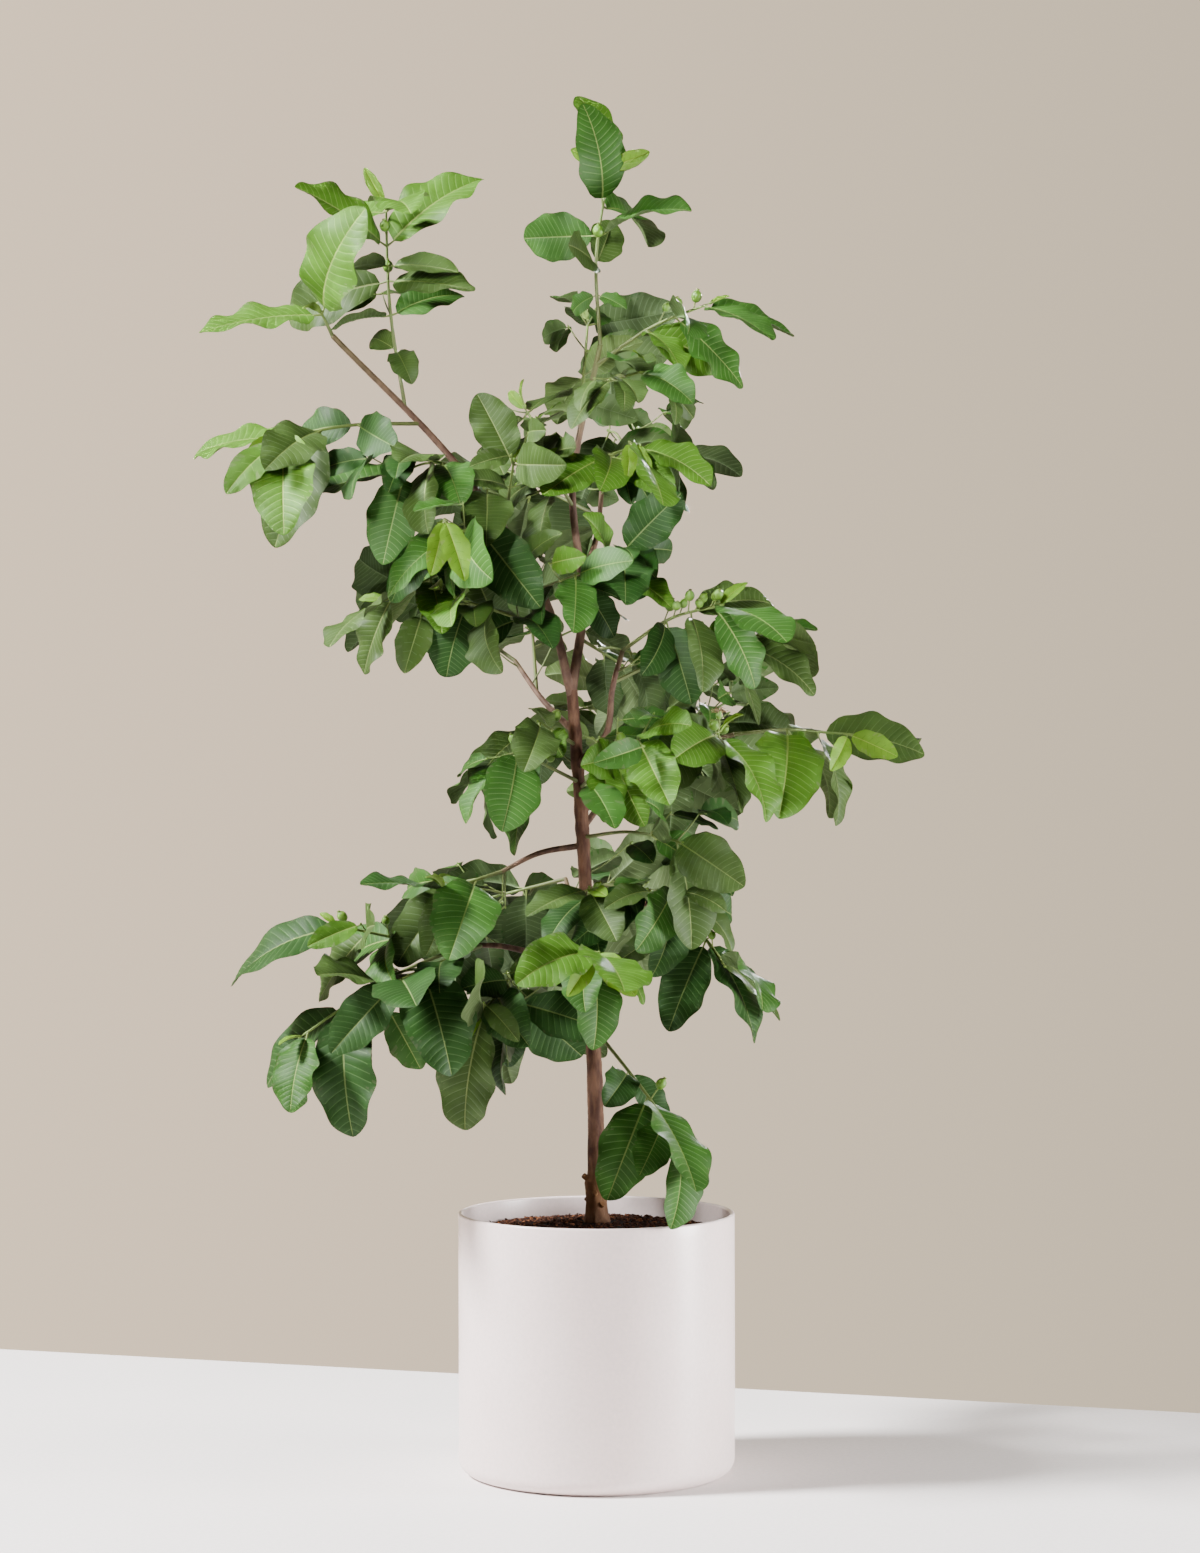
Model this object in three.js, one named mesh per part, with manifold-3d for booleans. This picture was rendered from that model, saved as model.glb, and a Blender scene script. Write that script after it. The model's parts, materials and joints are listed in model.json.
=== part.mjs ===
// A young guava tree in a plain round pot. Millimetres, +Z up.
// The origin is at the middle of the pot's flat underside, and -Y is the front.
import * as THREE from 'three';
import { mergeVertices } from 'three/addons/utils/BufferGeometryUtils.js';
import Module from 'manifold-3d';

const wasm = await Module();
wasm.setup();

// ---- driving dimensions ----
const potRadius = 150;
const potHeight = 282;
const potWall = 5;
const potFloor = 6;
const potCorner = 17;
const roundSides = 36;          // facets round the pot and the soil
const soilEdge = 259;           // height of the soil at the wall
const soilTop = 271.5;          // height of the soil at the trunk
const sliver = 0.02;            // shorter steps than this are smoothed away
const clearance = 0.3;          // between two solids that touch
const trunkFoot = soilTop + clearance;
const flareRadius = 15.5;       // root flare at the soil
const graftRadius = 13.2;
const graftHeight = 298;
const stemRadius = [2.3, 1.3];
const twigRadius = [1.7, 1.1];
const stalkWidth = 2.8;
const rootDepth = 0.8;          // past the twig's middle
const leafThickness = 2;        // at the midrib
const leafGap = 2.6;            // between the middles of two blades
const leafTries = 6;            // how often a leaf or twig may turn before it is skipped

// ---- small vector tools ----
const add = (a, b) => [a[0] + b[0], a[1] + b[1], a[2] + b[2]];
const sub = (a, b) => [a[0] - b[0], a[1] - b[1], a[2] - b[2]];
const times = (a, k) => [a[0] * k, a[1] * k, a[2] * k];
const dot = (a, b) => a[0] * b[0] + a[1] * b[1] + a[2] * b[2];
const cross = (a, b) => [
  a[1] * b[2] - a[2] * b[1],
  a[2] * b[0] - a[0] * b[2],
  a[0] * b[1] - a[1] * b[0],
];
const size = (a) => Math.sqrt(dot(a, a));
const unit = (a) => times(a, 1 / Math.max(size(a), 1e-9));
const up = [0, 0, 1];

function turned(v, axis, angle) {
  const c = Math.cos(angle);
  const s = Math.sin(angle);
  return add(add(times(v, c), times(cross(axis, v), s)), times(axis, dot(axis, v) * (1 - c)));
}

// A repeatable stream of numbers from a seed.
class Dice {
  constructor(seed) {
    this.state = (seed * 7919 + 104729) % 2147483647;
    for (let i = 0; i < 4; i += 1) this.roll();
  }

  roll() {
    this.state = (this.state * 16807) % 2147483647;
    return this.state / 2147483647;
  }

  between(low, high) {
    return low + (high - low) * this.roll();
  }
}

// A smooth line through a few points.
class Line {
  constructor(points) {
    this.curve = new THREE.CatmullRomCurve3(
      points.map((p) => new THREE.Vector3(...p)),
      false,
      'catmullrom',
      0.5,
    );
  }

  at(share) {
    return this.curve.getPoint(Math.min(1, Math.max(0, share))).toArray();
  }

  along(share) {
    const from = Math.max(0, share - 0.02);
    const to = Math.min(1, share + 0.02);
    return unit(sub(this.at(to), this.at(from)));
  }
}

// ---- trunk and boughs: each a tapering limb through a few points ----
// from/at: the limb it grows on and how far along; through: its own points; radius: foot, tip
const limbPlan = {
  trunk: {
    through: [[0, 0, trunkFoot], [-2, -4, 425], [-9, -2, 556], [-15, 4, 686], [-27, 8, 849]],
    radius: [11.5, 6.6],
  },
  bough_leader: {
    from: 'trunk', at: 1, through: [[-15, 12, 947], [-26, 5, 1077], [4, -5, 1224]], radius: [5.6, 2.8],
  },
  bough_left_high: {
    from: 'trunk', at: 0.985, through: [[-60, -6, 955], [-153, -20, 1094], [-284, -40, 1229]], radius: [5.2, 2.9],
  },
  bough_right_high: {
    from: 'trunk', at: 0.88, through: [[10, -16, 800], [17, -26, 850], [28, -32, 891]], radius: [4.2, 2.6],
  },
  bough_right_mid: {
    from: 'trunk', at: 0.8, through: [[48, 26, 765], [108, 22, 788], [150, 8, 801]], radius: [4.2, 2.6],
  },
  bough_left_mid: {
    from: 'trunk', at: 0.74, through: [[-62, -10, 672], [-103, -24, 652]], radius: [3.6, 2.3],
  },
  bough_right_low: {
    from: 'trunk', at: 0.63, through: [[48, -8, 618], [96, -16, 600]], radius: [3.6, 2.3],
  },
  bough_left_low: {
    from: 'trunk', at: 0.5, through: [[-60, -8, 562], [-110, -16, 572], [-168, -24, 570]], radius: [4.2, 2.4],
  },
  bough_back_high: {
    from: 'bough_leader', at: 0.4, through: [[0, 60, 1020], [6, 115, 1080]], radius: [3.8, 2.4],
  },
  bough_back_left: {
    from: 'trunk', at: 0.93, through: [[-60, 70, 840], [-92, 125, 885]], radius: [3.8, 2.4],
  },
  bough_back_right: {
    from: 'trunk', at: 0.77, through: [[20, 75, 745], [55, 135, 785]], radius: [3.8, 2.4],
  },
  bough_back_low: {
    from: 'trunk', at: 0.56, through: [[-25, 70, 610], [-35, 130, 640]], radius: [3.6, 2.3],
  },
};

// ---- masses of foliage: each is one shoot, its side twigs and its pairs of leaves ----
// tip: where the shoot ends; bow: how far its middle stands off the straight line;
// pairs: leaf lengths from the foot outwards; twigs: side twigs, each twig long with own pairs.
const massPlan = {
  top_shoot: {
    from: 'bough_leader', at: 1, tip: [13, -15, 1410],
    bow: [-9, 0, 0], pairs: [45, 72, 88, 112, 108], bare: 0.12, turn: 135, open: 45, hang: 0.5,
    rolls: [139, 123, 135, 191, 27], seed: 34,
  },
  bough_tip_left: {
    from: 'bough_left_high', at: 1, tip: [-294, -62, 1250],
    pairs: [142], bare: 0.7, turn: 60, open: 65, hang: 0.2, rolls: [36], seed: 50,
  },
  top_left_shoot: {
    from: 'bough_left_high', at: 0.81, tip: [-226, -55, 1367],
    bow: [-6, 0, 0], pairs: [48, 80, 110, 128, 120], bare: 0.12, turn: 135, open: 60, hang: 0.6,
    rolls: [84, 131, 170, 21, 66], seed: 53,
  },
  left_far: {
    from: 'bough_left_high', at: 0.77, tip: [-333, -120, 1111],
    bow: [0, 0, 6], pairs: [84, 110, 124], turn: 165, open: 75, hang: 0.8, rolls: [77, 49, 77],
    seed: 95,
  },
  right_mid: {
    from: 'bough_right_mid', at: 1, tip: [275, -20, 799],
    bow: [0, 0, 6], pairs: [110, 116, 134], turn: 15, open: 70, hang: 0.8, rolls: [197, 11, 138],
    seed: 83,
  },
  top_right: {
    from: 'bough_leader', at: 0.95, tip: [118, -70, 1259],
    bow: [0, 0, 8], pairs: [84, 90, 114], turn: 60, open: 50, hang: 0.7, rolls: [116, 142, 38],
    seed: 39,
  },
  low_left_far: {
    from: 'bough_left_low', at: 0.87, tip: [-312, -85, 480],
    bow: [0, 0, 10], pairs: [108, 124, 100], bare: 0.3, turn: 45, open: 75, hang: 1.1,
    rolls: [163, 44, 53], seed: 15,
  },
  low_left_upper: {
    from: 'bough_left_low', at: 1, tip: [-276, -75, 596],
    pairs: [96, 106, 120], turn: 135, open: 75, hang: 0.8, rolls: [9, 37, 128], seed: 22,
  },
  low_left_mid: {
    from: 'bough_left_low', at: 0.75, tip: [-209, -120, 541],
    pairs: [100, 120, 116], turn: 60, open: 65, hang: 0.5, twigs: 1, twig: 40, hand: 0,
    rolls: [139, 147, 40], seed: 76,
  },
  low_right_shoot: {
    from: 'trunk', at: 0.36, tip: [91, -110, 365],
    bow: [6, -4, -4], pairs: [56, 116, 60, 100], bare: 0.15, turn: 165, open: 50, hang: 0.8,
    rolls: [56, 184, 53, 52], seed: 24,
  },
  bud_twig: {
    from: 'bough_right_high', at: 1, tip: [129, -90, 936],
    bow: [0, -5, 10], pairs: [84, 110, 104], turn: 120, open: 75, hang: 1, rolls: [117, 176, 113],
    seed: 13,
  },
  right_upper: {
    from: 'bough_right_high', at: 0.72, tip: [180, 15, 910],
    bow: [0, 0, 10], pairs: [86, 100, 106], bare: 0.3, turn: 0, open: 75, hang: 0.7,
    rolls: [134, 164, 132], seed: 83,
  },
  right_low_tip: {
    from: 'bough_right_low', at: 1, tip: [135, -70, 555],
    bow: [4, 0, 0], pairs: [110, 110, 118], turn: 75, open: 75, hang: 1.2, rolls: [37, 40, 64],
    seed: 25,
  },
  left_mid: {
    from: 'bough_left_mid', at: 1, tip: [-161, -75, 634],
    pairs: [100, 106, 110], turn: 135, open: 40, hang: 0.8, twigs: 1, twig: 36, hand: 0,
    rolls: [100, 61, 76], seed: 8,
  },
  front_shoot: {
    from: 'trunk', at: 0.48, tip: [2, -150, 571],
    pairs: [100, 110], turn: 120, open: 45, hang: 1.1, rolls: [150, 184], seed: 89,
  },
  left_fan: {
    from: 'bough_left_high', at: 0.55, tip: [-139, -140, 1013],
    pairs: [96, 116], bare: 0.3, turn: 135, open: 65, hang: 0.8, twigs: 1, twig: 36, hand: 0,
    rolls: [13, 106], seed: 70,
  },
  left_out: {
    from: 'bough_left_high', at: 0.47, tip: [-223, -60, 946],
    pairs: [96, 104], bare: 0.35, turn: 150, open: 70, hang: 0.7, twigs: 1, twig: 40, hand: 1,
    rolls: [138, 31], seed: 2,
  },
  top_front: {
    from: 'bough_leader', at: 0.9, tip: [47, -95, 1184],
    pairs: [60, 86], turn: 60, open: 50, hang: 0.8, twigs: 1, twig: 30, hand: 0, rolls: [110, 125],
    seed: 74,
  },
  top_left: {
    from: 'bough_leader', at: 0.66, tip: [-77, 10, 1154],
    pairs: [74, 86], bare: 0.4, turn: 165, open: 70, hang: 0.8, rolls: [151, 7], seed: 77,
  },
  upper_right: {
    from: 'bough_leader', at: 0.7, tip: [42, -55, 1109],
    pairs: [86, 106], turn: 120, open: 40, hang: 0.6, twigs: 1, twig: 34, hand: 0, rolls: [191, 67],
    seed: 46,
  },
  centre_right: {
    from: 'bough_leader', at: 0.38, tip: [29, -85, 995],
    pairs: [84, 100], turn: 135, open: 55, hang: 0, rolls: [32, 109], seed: 97,
  },
  centre_front: {
    from: 'bough_left_high', at: 0.34, tip: [-21, -120, 968],
    pairs: [74, 84], turn: 0, open: 60, hang: 0.4, twigs: 1, twig: 34, hand: 1, rolls: [40, 35],
    seed: 65,
  },
  right_inner: {
    from: 'bough_right_mid', at: 0.8, tip: [129, -85, 800],
    pairs: [84, 96], bare: 0.4, turn: 120, open: 45, hang: 1, twigs: 1, twig: 34, hand: 0,
    rolls: [58, 84], seed: 89,
  },
  centre_low_right: {
    from: 'trunk', at: 0.84, tip: [46, -130, 796],
    pairs: [84, 88], turn: 135, open: 60, hang: 0.5, twigs: 1, twig: 36, hand: 0, rolls: [88, 69],
    seed: 54,
  },
  right_behind: {
    from: 'bough_right_mid', at: 0.55, tip: [80, 110, 760],
    pairs: [96, 104], turn: 120, open: 50, hang: 0.7, twigs: 1, twig: 36, hand: 0, back: true,
    rolls: [53, 72], seed: 29,
  },
  right_low_twig: {
    from: 'trunk', at: 0.755, tip: [88, -95, 686],
    bow: [0, -5, 8], pairs: [100, 110], bare: 0.45, turn: 150, open: 55, hang: 0.9, rolls: [69, 40],
    seed: 20,
  },
  right_low_inner: {
    from: 'bough_right_low', at: 0.7, tip: [84, -90, 640],
    pairs: [100, 106], bare: 0.3, turn: 60, open: 70, hang: 1.1, twigs: 1, twig: 34, hand: 0,
    rolls: [61, 1], seed: 32,
  },
  trunk_front: {
    from: 'trunk', at: 0.6, tip: [-8, -80, 636],
    pairs: [74, 82], bare: 0.4, turn: 90, open: 55, hang: 1.1, rolls: [122, 13], seed: 71,
  },
  left_upper: {
    from: 'trunk', at: 0.91, tip: [-61, -65, 813],
    pairs: [58, 100], bare: 0.4, turn: 135, open: 40, hang: 0.6, rolls: [146, 66], seed: 13,
  },
  left_centre: {
    from: 'trunk', at: 0.85, tip: [-85, -110, 783],
    pairs: [86, 108], bare: 0.4, turn: 75, open: 60, hang: 0.8, twigs: 1, twig: 34, hand: 0,
    rolls: [140, 106], seed: 44,
  },
  left_inner: {
    from: 'bough_left_high', at: 0.22, tip: [-146, -110, 943],
    pairs: [84, 94, 100], bare: 0.1, turn: 15, open: 70, hang: 0.3, twigs: 1, twig: 40, hand: 0,
    rolls: [18, 103, 194], seed: 18,
  },
  left_high_twig: {
    from: 'bough_left_high', at: 0.66, tip: [-176, -110, 1089],
    pairs: [86, 110], turn: 0, open: 50, hang: 0.7, twigs: 1, twig: 36, hand: 0, rolls: [7, 11],
    seed: 28,
  },
  left_high_inner: {
    from: 'bough_left_high', at: 0.5, tip: [-88, -95, 1088],
    pairs: [74, 96], bare: 0.3, turn: 30, open: 65, hang: 0.1, twigs: 1, twig: 34, hand: 0,
    rolls: [176, 109], seed: 70,
  },
  leader_left: {
    from: 'bough_leader', at: 0.6, tip: [-54, -50, 1092],
    pairs: [80, 80], turn: 90, open: 55, hang: 0.8, twigs: 1, twig: 30, hand: 0, rolls: [8, 124],
    seed: 71,
  },
  low_left_inner: {
    from: 'bough_left_low', at: 0.4, tip: [-121, -95, 505],
    pairs: [80, 106, 110], turn: 90, open: 75, hang: 0.5, twigs: 1, twig: 36, hand: 1,
    rolls: [98, 125, 54], seed: 46,
  },
  low_left_back: {
    from: 'bough_left_low', at: 0.45, tip: [-92, 90, 523],
    pairs: [108, 116], turn: 15, open: 50, hang: 1, twigs: 1, twig: 36, hand: 0, back: true,
    rolls: [37, 190], seed: 72,
  },
  centre_back: {
    from: 'bough_leader', at: 0.2, tip: [26, 70, 880],
    pairs: [80, 86], turn: 90, open: 55, hang: 1.1, twigs: 1, twig: 34, hand: 0, back: true,
    rolls: [124, 146], seed: 71,
  },
  back_top: {
    from: 'bough_leader', at: 0.78, tip: [-10, 100, 1262],
    pairs: [86, 96, 100], bare: 0.3, turn: 150, open: 50, hang: 0.8, back: true, rolls: [1, 7, 64],
    seed: 81,
  },
  back_high_right: {
    from: 'bough_back_high', at: 1, tip: [45, 185, 1150],
    pairs: [104, 110], turn: 150, open: 65, hang: 0.9, twigs: 2, twig: 60, hand: 0, back: true,
    rolls: [10, 9], seed: 8,
  },
  back_high_left: {
    from: 'bough_back_high', at: 0.7, tip: [-104, 155, 1102],
    pairs: [104, 110], turn: 105, open: 40, hang: 0.9, twigs: 2, twig: 60, hand: 0, back: true,
    rolls: [2, 6], seed: 92,
  },
  back_left_far: {
    from: 'bough_back_left', at: 1, tip: [-190, 190, 956],
    pairs: [104, 110, 110], turn: 75, open: 55, hang: 0.6, twigs: 2, twig: 60, hand: 0, back: true,
    rolls: [68, 24, 151], seed: 86,
  },
  back_left_mid: {
    from: 'bough_back_left', at: 0.6, tip: [-77, 210, 969],
    pairs: [104, 108], turn: 105, open: 60, hang: 0.7, twigs: 2, twig: 60, hand: 0, back: true,
    rolls: [72, 3], seed: 43,
  },
  back_right_far: {
    from: 'bough_back_right', at: 1, tip: [152, 190, 842],
    pairs: [104, 110, 110], turn: 105, open: 40, hang: 0.9, twigs: 2, twig: 60, hand: 0, back: true,
    rolls: [9, 11, 2], seed: 92,
  },
  back_right_mid: {
    from: 'bough_back_right', at: 0.6, tip: [15, 225, 855],
    pairs: [104, 108], turn: 135, open: 45, hang: 0.6, twigs: 2, twig: 60, hand: 0, back: true,
    rolls: [9, 1], seed: 60,
  },
  back_low_left: {
    from: 'bough_back_low', at: 1, tip: [-133, 195, 614],
    pairs: [104, 110, 110], turn: 75, open: 70, hang: 0.7, twigs: 2, twig: 60, hand: 0, back: true,
    rolls: [1, 1, 1], seed: 2,
  },
  back_low_right: {
    from: 'bough_back_low', at: 0.7, tip: [61, 190, 648],
    pairs: [104, 110, 110], turn: 90, open: 75, hang: 0.4, twigs: 2, twig: 60, hand: 0, back: true,
    rolls: [117, 1, 1], seed: 46,
  },
};

// ---- shapes ----
// A closed solid lofted over rings of points, with a point or a flat cap at each end.
function loft(rings) {
  const position = [];
  const index = [];
  const starts = rings.map((ring) => {
    const start = position.length / 3;
    ring.forEach((p) => position.push(...p));
    return start;
  });
  for (let r = 0; r + 1 < rings.length; r += 1) {
    const a = rings[r].length;
    const b = rings[r + 1].length;
    const n = Math.max(a, b);
    for (let i = 0; i < n; i += 1) {
      const j = (i + 1) % n;
      const even = i % 2 === 0;      // a thin blade's two faces fold along the same lines
      const near = starts[r];
      const far = starts[r + 1];
      if (a > 1) index.push(near + i, near + j, far + (b === 1 ? 0 : even ? i : j));
      if (b > 1) index.push(near + (a === 1 ? 0 : even ? j : i), far + j, far + i);
    }
  }
  [0, rings.length - 1].forEach((r) => {
    for (let i = 1; i + 1 < rings[r].length; i += 1) {
      const fan = [starts[r], starts[r] + i + 1, starts[r] + i];
      index.push(...(r === 0 ? fan : fan.reverse()));
    }
  });
  const geometry = new THREE.BufferGeometry();
  geometry.setAttribute('position', new THREE.Float32BufferAttribute(position, 3));
  geometry.setIndex(index);
  return geometry;
}

// A round ring across a line, turned with it.
function ringAcross(centre, way, radius, sides) {
  const level = Math.abs(way[2]) > 0.92 ? [1, 0, 0] : up;
  const side = unit(cross(way, level));
  const over = cross(side, way);
  const ring = [];
  for (let i = 0; i < sides; i += 1) {
    const angle = (2 * Math.PI * i) / sides;
    const out = add(times(side, Math.cos(angle)), times(over, -Math.sin(angle)));
    ring.push(add(centre, times(out, radius)));
  }
  return ring;
}

// ---- a leaf ----
// A point of a blade: u runs from its foot to its tip, v from -1 to 1 across it.
function bladePoint(leaf, u, v, raise = 0) {
  const start = leaf.bend * 0.35;
  const angle = start - leaf.bend * u;
  const x = (leaf.length / leaf.bend) * (Math.sin(start) - Math.sin(angle));
  const y = (leaf.length / leaf.bend) * (Math.cos(angle) - Math.cos(start));
  const middle = add(leaf.foot, add(times(leaf.way, x), times(leaf.face, y)));
  const flat = sub(times(leaf.face, Math.cos(angle)), times(leaf.way, Math.sin(angle)));
  const twist = leaf.twist * (u - 0.3);
  const across = add(times(leaf.side, Math.cos(twist)), times(flat, Math.sin(twist)));
  const normal = sub(times(flat, Math.cos(twist)), times(leaf.side, Math.sin(twist)));
  const oval = u > 0 && u < 1 ? Math.sin(Math.PI * u ** 0.92) ** 0.78 : 0;
  const half = Math.max(u < 0.9 ? stalkWidth / 2 : 0, (leaf.width / 2) * oval);
  const lift = half * Math.abs(v) * leaf.fold * (1 - 0.4 * Math.abs(v));
  return add(middle, add(times(across, half * v), times(normal, lift + raise)));
}

const bladeStops = [0, 0.27, 0.68];

function leafShape(leaf) {
  const rings = [[sub(leaf.root, times(leaf.way, rootDepth))]];
  bladeStops.forEach((u, i) => {
    const thick = (leafThickness / 2) * (i === 0 ? 0.8 : 1);
    rings.push([
      bladePoint(leaf, u, 1),
      bladePoint(leaf, u, 0, -thick),
      bladePoint(leaf, u, -1),
      bladePoint(leaf, u, 0, thick),
    ]);
  });
  rings.push([bladePoint(leaf, 1, 0)]);
  return loft(rings);
}

// The blade's middle surface as triangles, to keep leaves out of each other.
function leafFacets(leaf) {
  const foot = bladePoint(leaf, 0, 0);
  const tip = bladePoint(leaf, 1, 0);
  const a = [-1, 0, 1].map((v) => bladePoint(leaf, bladeStops[1], v));
  const b = [-1, 0, 1].map((v) => bladePoint(leaf, bladeStops[2], v));
  return [
    [foot, a[0], a[1]], [foot, a[1], a[2]],
    [a[0], b[0], b[1]], [a[0], b[1], a[1]],
    [a[1], b[1], b[2]], [a[1], b[2], a[2]],
    [b[0], tip, b[1]], [b[1], tip, b[2]],
  ];
}

// ---- distances ----
function segmentGap(p, q, r, s) {
  const d1 = sub(q, p);
  const d2 = sub(s, r);
  const w = sub(p, r);
  const a = dot(d1, d1);
  const e = dot(d2, d2);
  const f = dot(d2, w);
  const c = dot(d1, w);
  const b = dot(d1, d2);
  const den = a * e - b * b;
  let i = den > 1e-9 ? Math.min(1, Math.max(0, (b * f - c * e) / den)) : 0;
  let j = e > 1e-12 ? (b * i + f) / e : 0;
  if (j < 0) {
    j = 0;
    i = a > 1e-12 ? Math.min(1, Math.max(0, -c / a)) : 0;
  } else if (j > 1) {
    j = 1;
    i = a > 1e-12 ? Math.min(1, Math.max(0, (b - c) / a)) : 0;
  }
  return size(sub(add(p, times(d1, i)), add(r, times(d2, j))));
}

// The least gap from a segment to a triangle, 0 where it goes through.
function facetGap(p, q, facet) {
  const [a, b, c] = facet;
  const ab = sub(b, a);
  const ac = sub(c, a);
  const n = cross(ab, ac);
  const area = dot(n, n);
  let least = Math.min(segmentGap(p, q, a, b), segmentGap(p, q, b, c), segmentGap(p, q, c, a));
  const inside = (x) => {
    const ax = sub(x, a);
    const k = dot(cross(ax, ac), n) / area;
    const m = dot(cross(ab, ax), n) / area;
    return k >= 0 && m >= 0 && k + m <= 1;
  };
  const root = Math.sqrt(area);
  const hp = dot(sub(p, a), n) / root;
  const hq = dot(sub(q, a), n) / root;
  if (inside(p)) least = Math.min(least, Math.abs(hp));
  if (inside(q)) least = Math.min(least, Math.abs(hq));
  if (hp * hq < 0 && inside(add(p, times(sub(q, p), hp / (hp - hq))))) least = 0;
  return least;
}

// What already stands in the crown: limbs and twigs as rods, blades as facets.
const rods = [];
const blades = [];

function boxOf(points, margin) {
  const low = [0, 1, 2].map((k) => Math.min(...points.map((p) => p[k])) - margin);
  const high = [0, 1, 2].map((k) => Math.max(...points.map((p) => p[k])) + margin);
  return [low, high];
}

const apart = (a, b) => [0, 1, 2].some((k) => a[0][k] > b[1][k] || b[0][k] > a[1][k]);

function placeRods(line, radii, steps, owner) {
  for (let i = 0; i < steps; i += 1) {
    const ends = [line.at(i / steps), line.at((i + 1) / steps)];
    const radius = radii[0] + (radii[1] - radii[0]) * (i / steps);
    rods.push({ ends, radius, owner, box: boxOf(ends, radius + leafGap) });
  }
}

function leafIsClear(leaf, own) {
  const facets = leafFacets(leaf);
  const box = boxOf(facets.flat(), 0);
  const pot = Math.min(box[0][2] - 40, Math.hypot(...bladePoint(leaf, 1, 0).slice(0, 2)) - potRadius - 6);
  if (box[0][2] < potHeight + 4 && pot < 0) return false;
  const hitsRod = rods.some((rod) => {
    if (apart(box, rod.box)) return false;
    const mine = rod.owner === own;
    const room = rod.radius + (mine ? 0 : 1.5);
    return facets.slice(mine ? 2 : 0).some((facet) => facetGap(...rod.ends, facet) < room);
  });
  if (hitsRod) return false;
  const hitsBlade = blades.some((blade) => !apart(box, blade.box)
    && facets.some((facet) => {
      const near = boxOf(facet, leafGap);
      return blade.facets.some((other) => !apart(near, boxOf(other, 0))
        && [0, 1, 2].some((k) => facetGap(facet[k], facet[(k + 1) % 3], other) < leafGap
          || facetGap(other[k], other[(k + 1) % 3], facet) < leafGap));
    }));
  return !hitsBlade;
}

function twigIsClear(line, radius, own) {
  for (let i = 0; i < 4; i += 1) {
    const ends = [line.at(i / 4), line.at((i + 1) / 4)];
    const box = boxOf(ends, radius + 1.5);
    const hitsRod = rods.some((rod) => !(rod.owner === own && i === 0) && !apart(box, rod.box)
      && segmentGap(...ends, ...rod.ends) < rod.radius + radius + 0.8);
    const hitsBlade = blades.some((blade) => !apart(box, blade.box)
      && blade.facets.some((facet) => facetGap(...ends, facet) < radius + 1.4));
    if (hitsRod || hitsBlade) return false;
  }
  return true;
}

// ---- the growing rule ----
function rollLeaf(dice, plan, root, way, length) {
  const outward = unit([root[0], root[1] * 0.7, 0]);
  const look = plan.back ? [0, 1, 0] : [0, -1, 0];
  const facing = add(add(times(up, 0.55), times(outward, 0.4)), times(look, 0.55));
  const level = unit(sub(facing, times(way, dot(facing, way))));
  const face = turned(level, way, dice.between(-0.75, 0.75));
  return {
    root,
    way,
    face,
    side: cross(way, face),
    foot: add(root, times(way, 3 + length * 0.05)),
    length,
    width: length * dice.between(0.47, 0.61),
    bend: dice.between(0.25, 1.15),
    twist: dice.between(-0.6, 0.6),
    fold: dice.between(0.1, 0.5),
    wave: dice.between(0.01, 0.04),
    phase: dice.between(0, 2),
  };
}

// Leaves near a shoot's tip stand up along it, and older ones spread and hang.
function leafWay(dice, plan, along, sideways, hand, share) {
  const spread = (plan.open ?? 62) * (1.12 - 0.4 * share) + dice.between(-18, 18);
  const open = spread * (Math.PI / 180);
  const swing = dice.between(-0.45, 0.45);
  const away = add(times(along, Math.cos(open)), times(sideways, hand * Math.sin(open)));
  const swung = unit(add(away, times(cross(along, sideways), swing)));
  const drop = (plan.hang ?? 0.5) * (1.25 - 0.5 * share) * dice.between(0.2, 1.8);
  return unit(sub(swung, times(up, drop)));
}

// Two leaves at one joint of a twig, each pair turned on from the last.
function growPair(dice, plan, twig, i, own, keep) {
  const share = twig.bare + ((0.97 - twig.bare) * (i + 1)) / twig.pairs.length;
  const joint = twig.line.at(share);
  const along = twig.line.along(share);
  const level = Math.abs(along[2]) > 0.95 ? [0, 1, 0] : up;
  const turn = (twig.turn + (plan.step ?? 90) * i) * (Math.PI / 180);
  const sideways = turned(unit(cross(along, level)), along, turn);
  [1, -1].forEach((hand) => {
    for (let attempt = 0; attempt < leafTries; attempt += 1) {
      const way = leafWay(dice, plan, along, sideways, hand, share);
      const leaf = rollLeaf(dice, plan, joint, way, twig.pairs[i] * dice.between(0.82, 1.18));
      if (keep(leaf, own)) break;
    }
  });
}

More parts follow.
